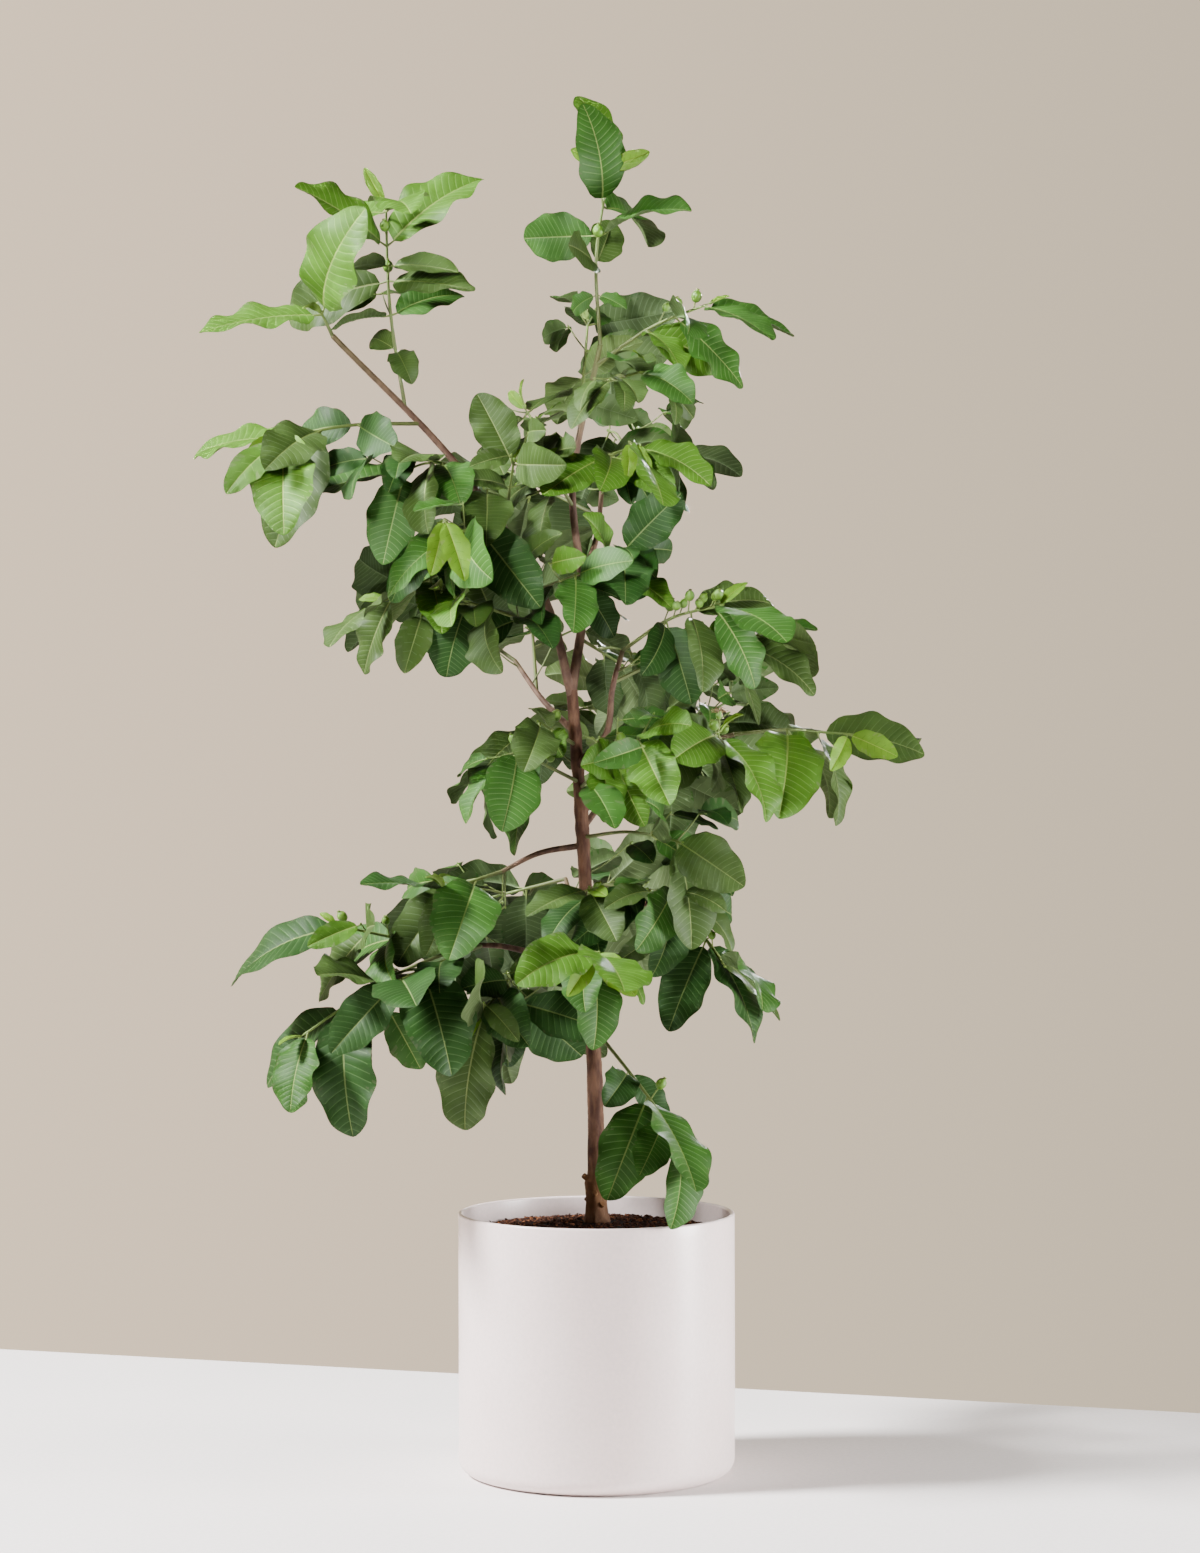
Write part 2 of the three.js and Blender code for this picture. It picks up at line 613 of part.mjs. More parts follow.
function growTwigs(dice, plan, stem, own, keepTwig) {
  const twigs = [];
  for (let i = 0; i < (plan.twigs ?? 0); i += 1) {
    for (let attempt = 0; attempt < leafTries; attempt += 1) {
      const share = 0.3 + (0.5 * (i + dice.between(0.2, 0.8))) / plan.twigs;
      const foot = stem.at(share);
      const along = stem.along(share);
      const sideways = unit(cross(along, Math.abs(along[2]) > 0.95 ? [0, 1, 0] : up));
      const open = dice.between(38, 64) * (Math.PI / 180);
      const hand = (i + (plan.hand ?? 0)) % 2 === 0 ? 1 : -1;
      const away = add(times(along, Math.cos(open)), times(sideways, hand * Math.sin(open)));
      const way = unit(add(away, times(up, dice.between(-0.25, 0.35))));
      const length = plan.twig * dice.between(0.8, 1.2);
      const middle = add(foot, times(way, length * 0.5));
      const end = add(foot, add(times(way, length), times(up, -length * dice.between(0, 0.2))));
      const line = new Line([foot, middle, end]);
      const turn = dice.between(0, 180);
      if (keepTwig(line, own)) {
        const outer = plan.pairs[plan.pairs.length - 1] * 0.9;
        const count = Math.max(1, plan.pairs.length - 1);
        twigs.push({ line, pairs: new Array(count).fill(outer), turn, bare: 0.25 });
        break;
      }
    }
  }
  return twigs;
}

// A mass: its side twigs first, then the pairs on its shoot, then those on the twigs.
function growMass(name, plan, keepLeaf, keepTwig) {
  const dice = new Dice(plan.seed);
  const shoot = { line: stems[name], pairs: plan.pairs, turn: plan.turn ?? 0, bare: plan.bare ?? 0.2 };
  const twigs = growTwigs(dice, plan, shoot.line, name, keepTwig);
  plan.rolls.forEach((roll, i) => growPair(new Dice(roll), plan, shoot, i, name, keepLeaf));
  twigs.forEach((twig) => twig.pairs.forEach((length, i) => growPair(dice, plan, twig, i, name, keepLeaf)));
}

// ---- limbs and stems ----
const limbs = {};
Object.entries(limbPlan).forEach(([name, plan]) => {
  const foot = plan.from ? [limbs[plan.from].line.at(plan.at)] : [];
  const line = new Line([...foot, ...plan.through]);
  limbs[name] = { line, radius: plan.radius };
  placeRods(line, plan.radius, 14, name);
});

const stems = {};
Object.entries(massPlan).forEach(([name, plan]) => {
  const foot = limbs[plan.from].line.at(plan.at);
  const middle = add(times(add(foot, plan.tip), 0.5), plan.bow ?? [0, 0, 0]);
  stems[name] = new Line([foot, middle, plan.tip]);
  placeRods(stems[name], stemRadius, 6, name);
});
// ---- end of the rule ----

// ---- joining and cutting ----
// A closed mesh as a solid, with its faces turned outward and its empty facets dropped.
function solidOf(geometry) {
  geometry.deleteAttribute('normal');
  geometry.deleteAttribute('uv');
  const bare = mergeVertices(geometry, 1e-4);
  const { array } = bare.attributes.position;
  const corners = (i) => [array[3 * i], array[3 * i + 1], array[3 * i + 2]];
  const facets = [];
  let volume = 0;
  for (let i = 0; i < bare.index.count; i += 3) {
    const [a, b, c] = bare.index.array.slice(i, i + 3);
    if (a !== b && b !== c && c !== a) {
      facets.push([a, b, c]);
      volume += dot(corners(a), cross(corners(b), corners(c)));
    }
  }
  const order = volume > 0 ? facets : facets.map(([a, b, c]) => [a, c, b]);
  return new wasm.Manifold(new wasm.Mesh({
    numProp: 3,
    vertProperties: new Float32Array(array),
    triVerts: new Uint32Array(order.flat()),
  }));
}

function geometryOf(solid) {
  const mesh = solid.getMesh();
  const geometry = new THREE.BufferGeometry();
  geometry.setAttribute('position', new THREE.Float32BufferAttribute(mesh.vertProperties, 3));
  geometry.setIndex(new THREE.Uint32BufferAttribute(mesh.triVerts, 1));
  geometry.computeVertexNormals();
  return geometry;
}

// The largest piece that is left after a cut, without slivers.
function mainPiece(solid) {
  const pieces = solid.decompose();
  const main = pieces.reduce((best, piece) => (piece.volume() > best.volume() ? piece : best));
  return main.asOriginal().simplify(sliver);
}

// ---- limbs ----
const trunkRings = 14;

function trunkRadius(share, height) {
  const [low, high] = limbPlan.trunk.radius;
  const taper = low + (high - low) * share;
  const flare = (flareRadius - low) * Math.exp(-(height - trunkFoot) / 7);
  const graft = (graftRadius - low) * Math.exp(-(((height - graftHeight) / 16) ** 2));
  return taper + flare + graft;
}

function trunkShape(grow) {
  const { line } = limbs.trunk;
  const rings = [];
  for (let i = 0; i <= trunkRings; i += 1) {
    const share = (i / trunkRings) ** 1.7;
    const middle = line.at(share);
    const way = i === 0 ? up : line.along(share);
    if (i === 0) middle[2] -= grow;
    if (i === trunkRings) middle[2] += grow;
    rings.push(ringAcross(middle, way, trunkRadius(share, middle[2]) + grow, 12));
  }
  return loft(rings);
}

function boughShape(name, grow) {
  const { line, radius } = limbs[name];
  const steps = 6;
  const rings = [];
  for (let i = 0; i <= steps; i += 1) {
    const share = i / steps;
    const middle = add(line.at(share), times(line.along(share), i === steps ? grow : 0));
    const thick = radius[0] + (radius[1] - radius[0]) * share + grow;
    rings.push(ringAcross(middle, line.along(share), thick, 7));
  }
  return loft(rings);
}

const limbShape = (name, grow) => solidOf(name === 'trunk' ? trunkShape(grow) : boughShape(name, grow));
const swollen = {};
const limbSolids = {};
Object.keys(limbPlan).forEach((name) => {
  let solid = limbShape(name, 0);
  Object.values(swollen).forEach((other) => { solid = solid.subtract(other); });
  limbSolids[name] = mainPiece(solid);
  swollen[name] = limbShape(name, clearance);
});

// ---- masses ----
function twigSolid(line, radius, steps) {
  const rings = [];
  for (let i = 0; i <= steps; i += 1) {
    const share = i / steps;
    const thick = radius[0] + (radius[1] - radius[0]) * share;
    rings.push(ringAcross(line.at(share), line.along(share), thick, 4));
  }
  rings.push([add(line.at(1), times(line.along(1), radius[1] * 2))]);
  return solidOf(loft(rings));
}

const massSolids = {};
Object.entries(massPlan).forEach(([name, plan]) => {
  const parts = [twigSolid(stems[name], stemRadius, 4)];
  const keepLeaf = (leaf, own) => {
    if (!leafIsClear(leaf, own)) return false;
    const facets = leafFacets(leaf);
    blades.push({ facets, box: boxOf(facets.flat(), leafGap) });
    parts.push(solidOf(leafShape(leaf)));
    return true;
  };
  const keepTwig = (line, own) => {
    if (!twigIsClear(line, 1.5, own)) return false;
    placeRods(line, twigRadius, 4, own);
    parts.push(twigSolid(line, twigRadius, 2));
    return true;
  };
  growMass(name, plan, keepLeaf, keepTwig);
  let solid = parts.reduce((whole, part) => whole.add(part));
  Object.values(swollen).forEach((limb) => { solid = solid.subtract(limb); });
  massSolids[name] = mainPiece(solid);
});

// ---- pot and soil ----
const lathe = (profile) => new THREE.LatheGeometry(
  profile.map(([r, z]) => new THREE.Vector2(r, z)),
  roundSides,
).rotateX(Math.PI / 2);

const corner = (radius, middle, from, to, steps) => Array.from({ length: steps + 1 }, (unused, i) => {
  const angle = from + ((to - from) * i) / steps;
  return [middle[0] + radius * Math.cos(angle), middle[1] + radius * Math.sin(angle)];
});

const potInside = potRadius - potWall;
const potSolid = solidOf(lathe([
  [0, 0],
  ...corner(potCorner, [potRadius - potCorner, potCorner], -Math.PI / 2, 0, 3),
  [potRadius, potHeight - 2],
  [potRadius - 1.5, potHeight],
  [potInside + 1.5, potHeight],
  [potInside, potHeight - 2],
  ...corner(potCorner - potWall, [potRadius - potCorner, potCorner + 1], 0, -Math.PI / 2, 2),
  [0, potFloor],
]));
const soilSolid = solidOf(lathe([
  [0, potFloor + clearance],
  [potRadius - potCorner - 4, potFloor + clearance],
  [potInside - 3, potCorner],
  [potInside - 0.4, potCorner + 8],
  [potInside - 0.4, soilEdge],
  [80, soilTop - 6],
  [22, soilTop],
  [0, soilTop],
]));

// ---- the plant ----
const paint = (color, roughness) => new THREE.MeshStandardMaterial({ color, roughness, metalness: 0 });
const bark = paint(0x7a5a44, 0.85);
const youngBark = paint(0x8a6a4c, 0.8);
const foliage = [0x4f7a34, 0x5b8a3c, 0x466e30].map((color) => paint(color, 0.55));
const plant = new THREE.Group();

function put(name, solid, material) {
  const mesh = new THREE.Mesh(geometryOf(solid), material);
  mesh.name = name;
  plant.add(mesh);
}

put('pot', potSolid, paint(0xece4e0, 0.4));
put('soil', soilSolid, paint(0x3d2a20, 0.95));
Object.entries(limbSolids).forEach(([name, solid]) => put(name, solid, name === 'trunk' ? bark : youngBark));
Object.entries(massSolids).forEach(([name, solid], i) => put(name, solid, foliage[i % foliage.length]));

export default plant;
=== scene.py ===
# A young guava tree in a plain round pot: leaves, twigs, bark, fruit, pot and soil.
# The tree is grown in millimetres by one seeded rule, and meshes are made in metres.
import json
import math
import bmesh
import bpy
import numpy as np
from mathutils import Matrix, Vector, kdtree

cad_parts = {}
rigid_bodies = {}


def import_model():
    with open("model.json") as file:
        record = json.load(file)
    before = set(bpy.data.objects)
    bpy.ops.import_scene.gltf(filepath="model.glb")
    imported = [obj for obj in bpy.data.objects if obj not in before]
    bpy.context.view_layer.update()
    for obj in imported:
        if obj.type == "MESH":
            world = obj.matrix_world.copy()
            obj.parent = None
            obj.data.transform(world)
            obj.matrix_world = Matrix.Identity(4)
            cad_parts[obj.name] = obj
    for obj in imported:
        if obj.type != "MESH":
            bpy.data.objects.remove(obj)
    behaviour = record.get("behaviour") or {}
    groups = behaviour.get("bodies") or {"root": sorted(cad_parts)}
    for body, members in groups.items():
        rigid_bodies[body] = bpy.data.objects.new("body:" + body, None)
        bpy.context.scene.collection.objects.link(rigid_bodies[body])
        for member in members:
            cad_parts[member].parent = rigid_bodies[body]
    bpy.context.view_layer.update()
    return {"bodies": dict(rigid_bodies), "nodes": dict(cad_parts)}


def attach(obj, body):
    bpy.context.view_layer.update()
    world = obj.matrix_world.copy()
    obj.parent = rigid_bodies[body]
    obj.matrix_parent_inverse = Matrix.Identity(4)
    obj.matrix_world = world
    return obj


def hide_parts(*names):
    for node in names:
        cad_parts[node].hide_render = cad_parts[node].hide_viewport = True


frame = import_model()
mm = 0.001
up = np.array([0.0, 0.0, 1.0])
print("frame loaded:", len(frame["nodes"]), "nodes")


def unit(v):
    v = np.asarray(v, float)
    return v / max(float(np.linalg.norm(v)), 1e-9)


def turned(v, axis, angle):
    c, s = math.cos(angle), math.sin(angle)
    return v * c + np.cross(axis, v) * s + axis * (float(np.dot(axis, v)) * (1 - c))


class Dice:
    # a repeatable stream of numbers from a seed
    def __init__(self, seed):
        self.state = (seed * 7919 + 104729) % 2147483647
        for _ in range(4):
            self.roll()

    def roll(self):
        self.state = self.state * 16807 % 2147483647
        return self.state / 2147483647

    def between(self, low, high):
        return low + (high - low) * self.roll()


class Line:
    # a smooth line through a few points
    def __init__(self, points):
        self.points = [np.array(p, float) for p in points]

    def at(self, share):
        p = self.points
        place = (len(p) - 1) * min(1.0, max(0.0, share))
        i = min(int(place), len(p) - 2)
        t = place - i
        before = p[i - 1] if i > 0 else 2 * p[0] - p[1]
        after = p[i + 2] if i + 2 < len(p) else 2 * p[-1] - p[-2]
        a, b = p[i], p[i + 1]
        go, come = 0.5 * (b - before), 0.5 * (after - a)
        return a + go * t + (3 * b - 3 * a - 2 * go - come) * t * t + (2 * a - 2 * b + go + come) * t ** 3

    def along(self, share):
        return unit(self.at(min(1.0, share + 0.02)) - self.at(max(0.0, share - 0.02)))

    def length(self):
        steps = [self.at(i / 16) for i in range(17)]
        return sum(float(np.linalg.norm(b - a)) for a, b in zip(steps, steps[1:]))


# the trunk and boughs: where each leaves its parent, the points it runs through and its end radii
trunkFoot = 271.8
limbPlan = {
    "trunk": {"through": [[0, 0, trunkFoot], [-2, -4, 425], [-9, -2, 556], [-15, 4, 686], [-27, 8, 849]],
              "radius": [11.5, 6.6]},
    "bough_leader": {"from": "trunk", "at": 1, "through": [[-15, 12, 947], [-26, 5, 1077], [4, -5, 1224]],
                     "radius": [5.6, 2.8]},
    "bough_left_high": {"from": "trunk", "at": 0.985,
                        "through": [[-60, -6, 955], [-153, -20, 1094], [-284, -40, 1229]],
                        "radius": [5.2, 2.9]},
    "bough_right_high": {"from": "trunk", "at": 0.88,
                         "through": [[10, -16, 800], [17, -26, 850], [28, -32, 891]],
                         "radius": [4.2, 2.6]},
    "bough_right_mid": {"from": "trunk", "at": 0.8, "through": [[48, 26, 765], [108, 22, 788], [150, 8, 801]],
                        "radius": [4.2, 2.6]},
    "bough_left_mid": {"from": "trunk", "at": 0.74, "through": [[-62, -10, 672], [-103, -24, 652]],
                       "radius": [3.6, 2.3]},
    "bough_right_low": {"from": "trunk", "at": 0.63, "through": [[48, -8, 618], [96, -16, 600]],
                        "radius": [3.6, 2.3]},
    "bough_left_low": {"from": "trunk", "at": 0.5,
                       "through": [[-60, -8, 562], [-110, -16, 572], [-168, -24, 570]],
                       "radius": [4.2, 2.4]},
    "bough_back_high": {"from": "bough_leader", "at": 0.4, "through": [[0, 60, 1020], [6, 115, 1080]],
                        "radius": [3.8, 2.4]},
    "bough_back_left": {"from": "trunk", "at": 0.93, "through": [[-60, 70, 840], [-92, 125, 885]],
                        "radius": [3.8, 2.4]},
    "bough_back_right": {"from": "trunk", "at": 0.77, "through": [[20, 75, 745], [55, 135, 785]],
                         "radius": [3.8, 2.4]},
    "bough_back_low": {"from": "trunk", "at": 0.56, "through": [[-25, 70, 610], [-35, 130, 640]],
                       "radius": [3.6, 2.3]},
}
# tip, bow and pairs are in millimetres, judged by eye and then converted by a script
# turn, open, hang, rolls and seed were found by a search program and copied in, not chosen by hand
massPlan = {
    "top_shoot": {
        "from": "bough_leader", "at": 1, "tip": [13, -15, 1410], "bow": [-9, 0, 0],
        "pairs": [45, 72, 88, 112, 108], "bare": 0.12, "turn": 135, "open": 45, "hang": 0.5,
        "rolls": [139, 123, 135, 191, 27], "seed": 34,
    },
    "bough_tip_left": {
        "from": "bough_left_high", "at": 1, "tip": [-294, -62, 1250], "pairs": [142], "bare": 0.7,
        "turn": 60, "open": 65, "hang": 0.2, "rolls": [36], "seed": 50,
    },
    "top_left_shoot": {
        "from": "bough_left_high", "at": 0.81, "tip": [-226, -55, 1367], "bow": [-6, 0, 0],
        "pairs": [48, 80, 110, 128, 120], "bare": 0.12, "turn": 135, "open": 60, "hang": 0.6,
        "rolls": [84, 131, 170, 21, 66], "seed": 53,
    },
    "left_far": {
        "from": "bough_left_high", "at": 0.77, "tip": [-333, -120, 1111], "bow": [0, 0, 6],
        "pairs": [84, 110, 124], "turn": 165, "open": 75, "hang": 0.8, "rolls": [77, 49, 77], "seed": 95,
    },
    "right_mid": {
        "from": "bough_right_mid", "at": 1, "tip": [275, -20, 799], "bow": [0, 0, 6],
        "pairs": [110, 116, 134], "turn": 15, "open": 70, "hang": 0.8, "rolls": [197, 11, 138], "seed": 83,
    },
    "top_right": {
        "from": "bough_leader", "at": 0.95, "tip": [118, -70, 1259], "bow": [0, 0, 8],
        "pairs": [84, 90, 114], "turn": 60, "open": 50, "hang": 0.7, "rolls": [116, 142, 38], "seed": 39,
    },
    "low_left_far": {
        "from": "bough_left_low", "at": 0.87, "tip": [-312, -85, 480], "bow": [0, 0, 10],
        "pairs": [108, 124, 100], "bare": 0.3, "turn": 45, "open": 75, "hang": 1.1, "rolls": [163, 44, 53],
        "seed": 15,
    },
    "low_left_upper": {
        "from": "bough_left_low", "at": 1, "tip": [-276, -75, 596], "pairs": [96, 106, 120], "turn": 135,
        "open": 75, "hang": 0.8, "rolls": [9, 37, 128], "seed": 22,
    },
    "low_left_mid": {
        "from": "bough_left_low", "at": 0.75, "tip": [-209, -120, 541], "pairs": [100, 120, 116],
        "turn": 60, "open": 65, "hang": 0.5, "twigs": 1, "twig": 40, "hand": 0, "rolls": [139, 147, 40],
        "seed": 76,
    },
    "low_right_shoot": {
        "from": "trunk", "at": 0.36, "tip": [91, -110, 365], "bow": [6, -4, -4],
        "pairs": [56, 116, 60, 100], "bare": 0.15, "turn": 165, "open": 50, "hang": 0.8,
        "rolls": [56, 184, 53, 52], "seed": 24,
    },
    "bud_twig": {
        "from": "bough_right_high", "at": 1, "tip": [129, -90, 936], "bow": [0, -5, 10],
        "pairs": [84, 110, 104], "turn": 120, "open": 75, "hang": 1, "rolls": [117, 176, 113], "seed": 13,
    },
    "right_upper": {
        "from": "bough_right_high", "at": 0.72, "tip": [180, 15, 910], "bow": [0, 0, 10],
        "pairs": [86, 100, 106], "bare": 0.3, "turn": 0, "open": 75, "hang": 0.7, "rolls": [134, 164, 132],
        "seed": 83,
    },
    "right_low_tip": {
        "from": "bough_right_low", "at": 1, "tip": [135, -70, 555], "bow": [4, 0, 0],
        "pairs": [110, 110, 118], "turn": 75, "open": 75, "hang": 1.2, "rolls": [37, 40, 64], "seed": 25,
    },
    "left_mid": {
        "from": "bough_left_mid", "at": 1, "tip": [-161, -75, 634], "pairs": [100, 106, 110], "turn": 135,
        "open": 40, "hang": 0.8, "twigs": 1, "twig": 36, "hand": 0, "rolls": [100, 61, 76], "seed": 8,
    },
    "front_shoot": {
        "from": "trunk", "at": 0.48, "tip": [2, -150, 571], "pairs": [100, 110], "turn": 120, "open": 45,
        "hang": 1.1, "rolls": [150, 184], "seed": 89,
    },
    "left_fan": {
        "from": "bough_left_high", "at": 0.55, "tip": [-139, -140, 1013], "pairs": [96, 116], "bare": 0.3,
        "turn": 135, "open": 65, "hang": 0.8, "twigs": 1, "twig": 36, "hand": 0, "rolls": [13, 106],
        "seed": 70,
    },
    "left_out": {
        "from": "bough_left_high", "at": 0.47, "tip": [-223, -60, 946], "pairs": [96, 104], "bare": 0.35,
        "turn": 150, "open": 70, "hang": 0.7, "twigs": 1, "twig": 40, "hand": 1, "rolls": [138, 31],
        "seed": 2,
    },
    "top_front": {
        "from": "bough_leader", "at": 0.9, "tip": [47, -95, 1184], "pairs": [60, 86], "turn": 60,
        "open": 50, "hang": 0.8, "twigs": 1, "twig": 30, "hand": 0, "rolls": [110, 125], "seed": 74,
    },
    "top_left": {
        "from": "bough_leader", "at": 0.66, "tip": [-77, 10, 1154], "pairs": [74, 86], "bare": 0.4,
        "turn": 165, "open": 70, "hang": 0.8, "rolls": [151, 7], "seed": 77,
    },
    "upper_right": {
        "from": "bough_leader", "at": 0.7, "tip": [42, -55, 1109], "pairs": [86, 106], "turn": 120,
        "open": 40, "hang": 0.6, "twigs": 1, "twig": 34, "hand": 0, "rolls": [191, 67], "seed": 46,
    },
    "centre_right": {
        "from": "bough_leader", "at": 0.38, "tip": [29, -85, 995], "pairs": [84, 100], "turn": 135,
        "open": 55, "hang": 0, "rolls": [32, 109], "seed": 97,
    },
    "centre_front": {
        "from": "bough_left_high", "at": 0.34, "tip": [-21, -120, 968], "pairs": [74, 84], "turn": 0,
        "open": 60, "hang": 0.4, "twigs": 1, "twig": 34, "hand": 1, "rolls": [40, 35], "seed": 65,
    },
    "right_inner": {
        "from": "bough_right_mid", "at": 0.8, "tip": [129, -85, 800], "pairs": [84, 96], "bare": 0.4,
        "turn": 120, "open": 45, "hang": 1, "twigs": 1, "twig": 34, "hand": 0, "rolls": [58, 84],
        "seed": 89,
    },
    "centre_low_right": {
        "from": "trunk", "at": 0.84, "tip": [46, -130, 796], "pairs": [84, 88], "turn": 135, "open": 60,
        "hang": 0.5, "twigs": 1, "twig": 36, "hand": 0, "rolls": [88, 69], "seed": 54,
    },
    "right_behind": {
        "from": "bough_right_mid", "at": 0.55, "tip": [80, 110, 760], "pairs": [96, 104], "turn": 120,
        "open": 50, "hang": 0.7, "twigs": 1, "twig": 36, "hand": 0, "back": True, "rolls": [53, 72],
        "seed": 29,
    },
    "right_low_twig": {
        "from": "trunk", "at": 0.755, "tip": [88, -95, 686], "bow": [0, -5, 8], "pairs": [100, 110],
        "bare": 0.45, "turn": 150, "open": 55, "hang": 0.9, "rolls": [69, 40], "seed": 20,
    },
    "right_low_inner": {
        "from": "bough_right_low", "at": 0.7, "tip": [84, -90, 640], "pairs": [100, 106], "bare": 0.3,
        "turn": 60, "open": 70, "hang": 1.1, "twigs": 1, "twig": 34, "hand": 0, "rolls": [61, 1],
        "seed": 32,
    },
    "trunk_front": {
        "from": "trunk", "at": 0.6, "tip": [-8, -80, 636], "pairs": [74, 82], "bare": 0.4, "turn": 90,
        "open": 55, "hang": 1.1, "rolls": [122, 13], "seed": 71,
    },
    "left_upper": {
        "from": "trunk", "at": 0.91, "tip": [-61, -65, 813], "pairs": [58, 100], "bare": 0.4, "turn": 135,
        "open": 40, "hang": 0.6, "rolls": [146, 66], "seed": 13,
    },
    "left_centre": {
        "from": "trunk", "at": 0.85, "tip": [-85, -110, 783], "pairs": [86, 108], "bare": 0.4, "turn": 75,
        "open": 60, "hang": 0.8, "twigs": 1, "twig": 34, "hand": 0, "rolls": [140, 106], "seed": 44,
    },
    "left_inner": {
        "from": "bough_left_high", "at": 0.22, "tip": [-146, -110, 943], "pairs": [84, 94, 100],
        "bare": 0.1, "turn": 15, "open": 70, "hang": 0.3, "twigs": 1, "twig": 40, "hand": 0,
        "rolls": [18, 103, 194], "seed": 18,
    },
    "left_high_twig": {
        "from": "bough_left_high", "at": 0.66, "tip": [-176, -110, 1089], "pairs": [86, 110], "turn": 0,
        "open": 50, "hang": 0.7, "twigs": 1, "twig": 36, "hand": 0, "rolls": [7, 11], "seed": 28,
    },
    "left_high_inner": {
        "from": "bough_left_high", "at": 0.5, "tip": [-88, -95, 1088], "pairs": [74, 96], "bare": 0.3,
        "turn": 30, "open": 65, "hang": 0.1, "twigs": 1, "twig": 34, "hand": 0, "rolls": [176, 109],
        "seed": 70,
    },
    "leader_left": {
        "from": "bough_leader", "at": 0.6, "tip": [-54, -50, 1092], "pairs": [80, 80], "turn": 90,
        "open": 55, "hang": 0.8, "twigs": 1, "twig": 30, "hand": 0, "rolls": [8, 124], "seed": 71,
    },
    "low_left_inner": {
        "from": "bough_left_low", "at": 0.4, "tip": [-121, -95, 505], "pairs": [80, 106, 110], "turn": 90,
        "open": 75, "hang": 0.5, "twigs": 1, "twig": 36, "hand": 1, "rolls": [98, 125, 54], "seed": 46,
    },
    "low_left_back": {
        "from": "bough_left_low", "at": 0.45, "tip": [-92, 90, 523], "pairs": [108, 116], "turn": 15,
        "open": 50, "hang": 1, "twigs": 1, "twig": 36, "hand": 0, "back": True, "rolls": [37, 190],
        "seed": 72,
    },
    "centre_back": {
        "from": "bough_leader", "at": 0.2, "tip": [26, 70, 880], "pairs": [80, 86], "turn": 90, "open": 55,
        "hang": 1.1, "twigs": 1, "twig": 34, "hand": 0, "back": True, "rolls": [124, 146], "seed": 71,
    },
    "back_top": {
        "from": "bough_leader", "at": 0.78, "tip": [-10, 100, 1262], "pairs": [86, 96, 100], "bare": 0.3,
        "turn": 150, "open": 50, "hang": 0.8, "back": True, "rolls": [1, 7, 64], "seed": 81,
    },
    "back_high_right": {
        "from": "bough_back_high", "at": 1, "tip": [45, 185, 1150], "pairs": [104, 110], "turn": 150,
        "open": 65, "hang": 0.9, "twigs": 2, "twig": 60, "hand": 0, "back": True, "rolls": [10, 9],
        "seed": 8,
    },
    "back_high_left": {
        "from": "bough_back_high", "at": 0.7, "tip": [-104, 155, 1102], "pairs": [104, 110], "turn": 105,
        "open": 40, "hang": 0.9, "twigs": 2, "twig": 60, "hand": 0, "back": True, "rolls": [2, 6],
        "seed": 92,
    },
    "back_left_far": {
        "from": "bough_back_left", "at": 1, "tip": [-190, 190, 956], "pairs": [104, 110, 110], "turn": 75,
        "open": 55, "hang": 0.6, "twigs": 2, "twig": 60, "hand": 0, "back": True, "rolls": [68, 24, 151],
        "seed": 86,
    },
    "back_left_mid": {
        "from": "bough_back_left", "at": 0.6, "tip": [-77, 210, 969], "pairs": [104, 108], "turn": 105,
        "open": 60, "hang": 0.7, "twigs": 2, "twig": 60, "hand": 0, "back": True, "rolls": [72, 3],
        "seed": 43,
    },
    "back_right_far": {
        "from": "bough_back_right", "at": 1, "tip": [152, 190, 842], "pairs": [104, 110, 110], "turn": 105,
        "open": 40, "hang": 0.9, "twigs": 2, "twig": 60, "hand": 0, "back": True, "rolls": [9, 11, 2],
        "seed": 92,
    },
    "back_right_mid": {
        "from": "bough_back_right", "at": 0.6, "tip": [15, 225, 855], "pairs": [104, 108], "turn": 135,
        "open": 45, "hang": 0.6, "twigs": 2, "twig": 60, "hand": 0, "back": True, "rolls": [9, 1],
        "seed": 60,
    },
    "back_low_left": {
        "from": "bough_back_low", "at": 1, "tip": [-133, 195, 614], "pairs": [104, 110, 110], "turn": 75,
        "open": 70, "hang": 0.7, "twigs": 2, "twig": 60, "hand": 0, "back": True, "rolls": [1, 1, 1],
        "seed": 2,
    },
    "back_low_right": {
        "from": "bough_back_low", "at": 0.7, "tip": [61, 190, 648], "pairs": [104, 110, 110], "turn": 90,
        "open": 75, "hang": 0.4, "twigs": 2, "twig": 60, "hand": 0, "back": True, "rolls": [117, 1, 1],
        "seed": 46,
    },
}


# sizes of the growing rule
stalkWidth = 2.8
stemRadius = (2.3, 1.3)
twigRadius = (1.7, 1.1)
spurRadius = (1.0, 0.7)
leafTries = 6
cornerReach = 0.15

limbs = {}
for name, plan in limbPlan.items():
    foot = [limbs[plan["from"]]["line"].at(plan["at"])] if "from" in plan else []
    limbs[name] = {"line": Line(foot + plan["through"]), "radius": plan["radius"]}
stems = {}
for name, plan in massPlan.items():
    foot = limbs[plan["from"]]["line"].at(plan["at"])
    tip = np.array(plan["tip"], float)
    stems[name] = Line([foot, (foot + tip) * 0.5 + np.array(plan.get("bow", [0, 0, 0]), float), tip])


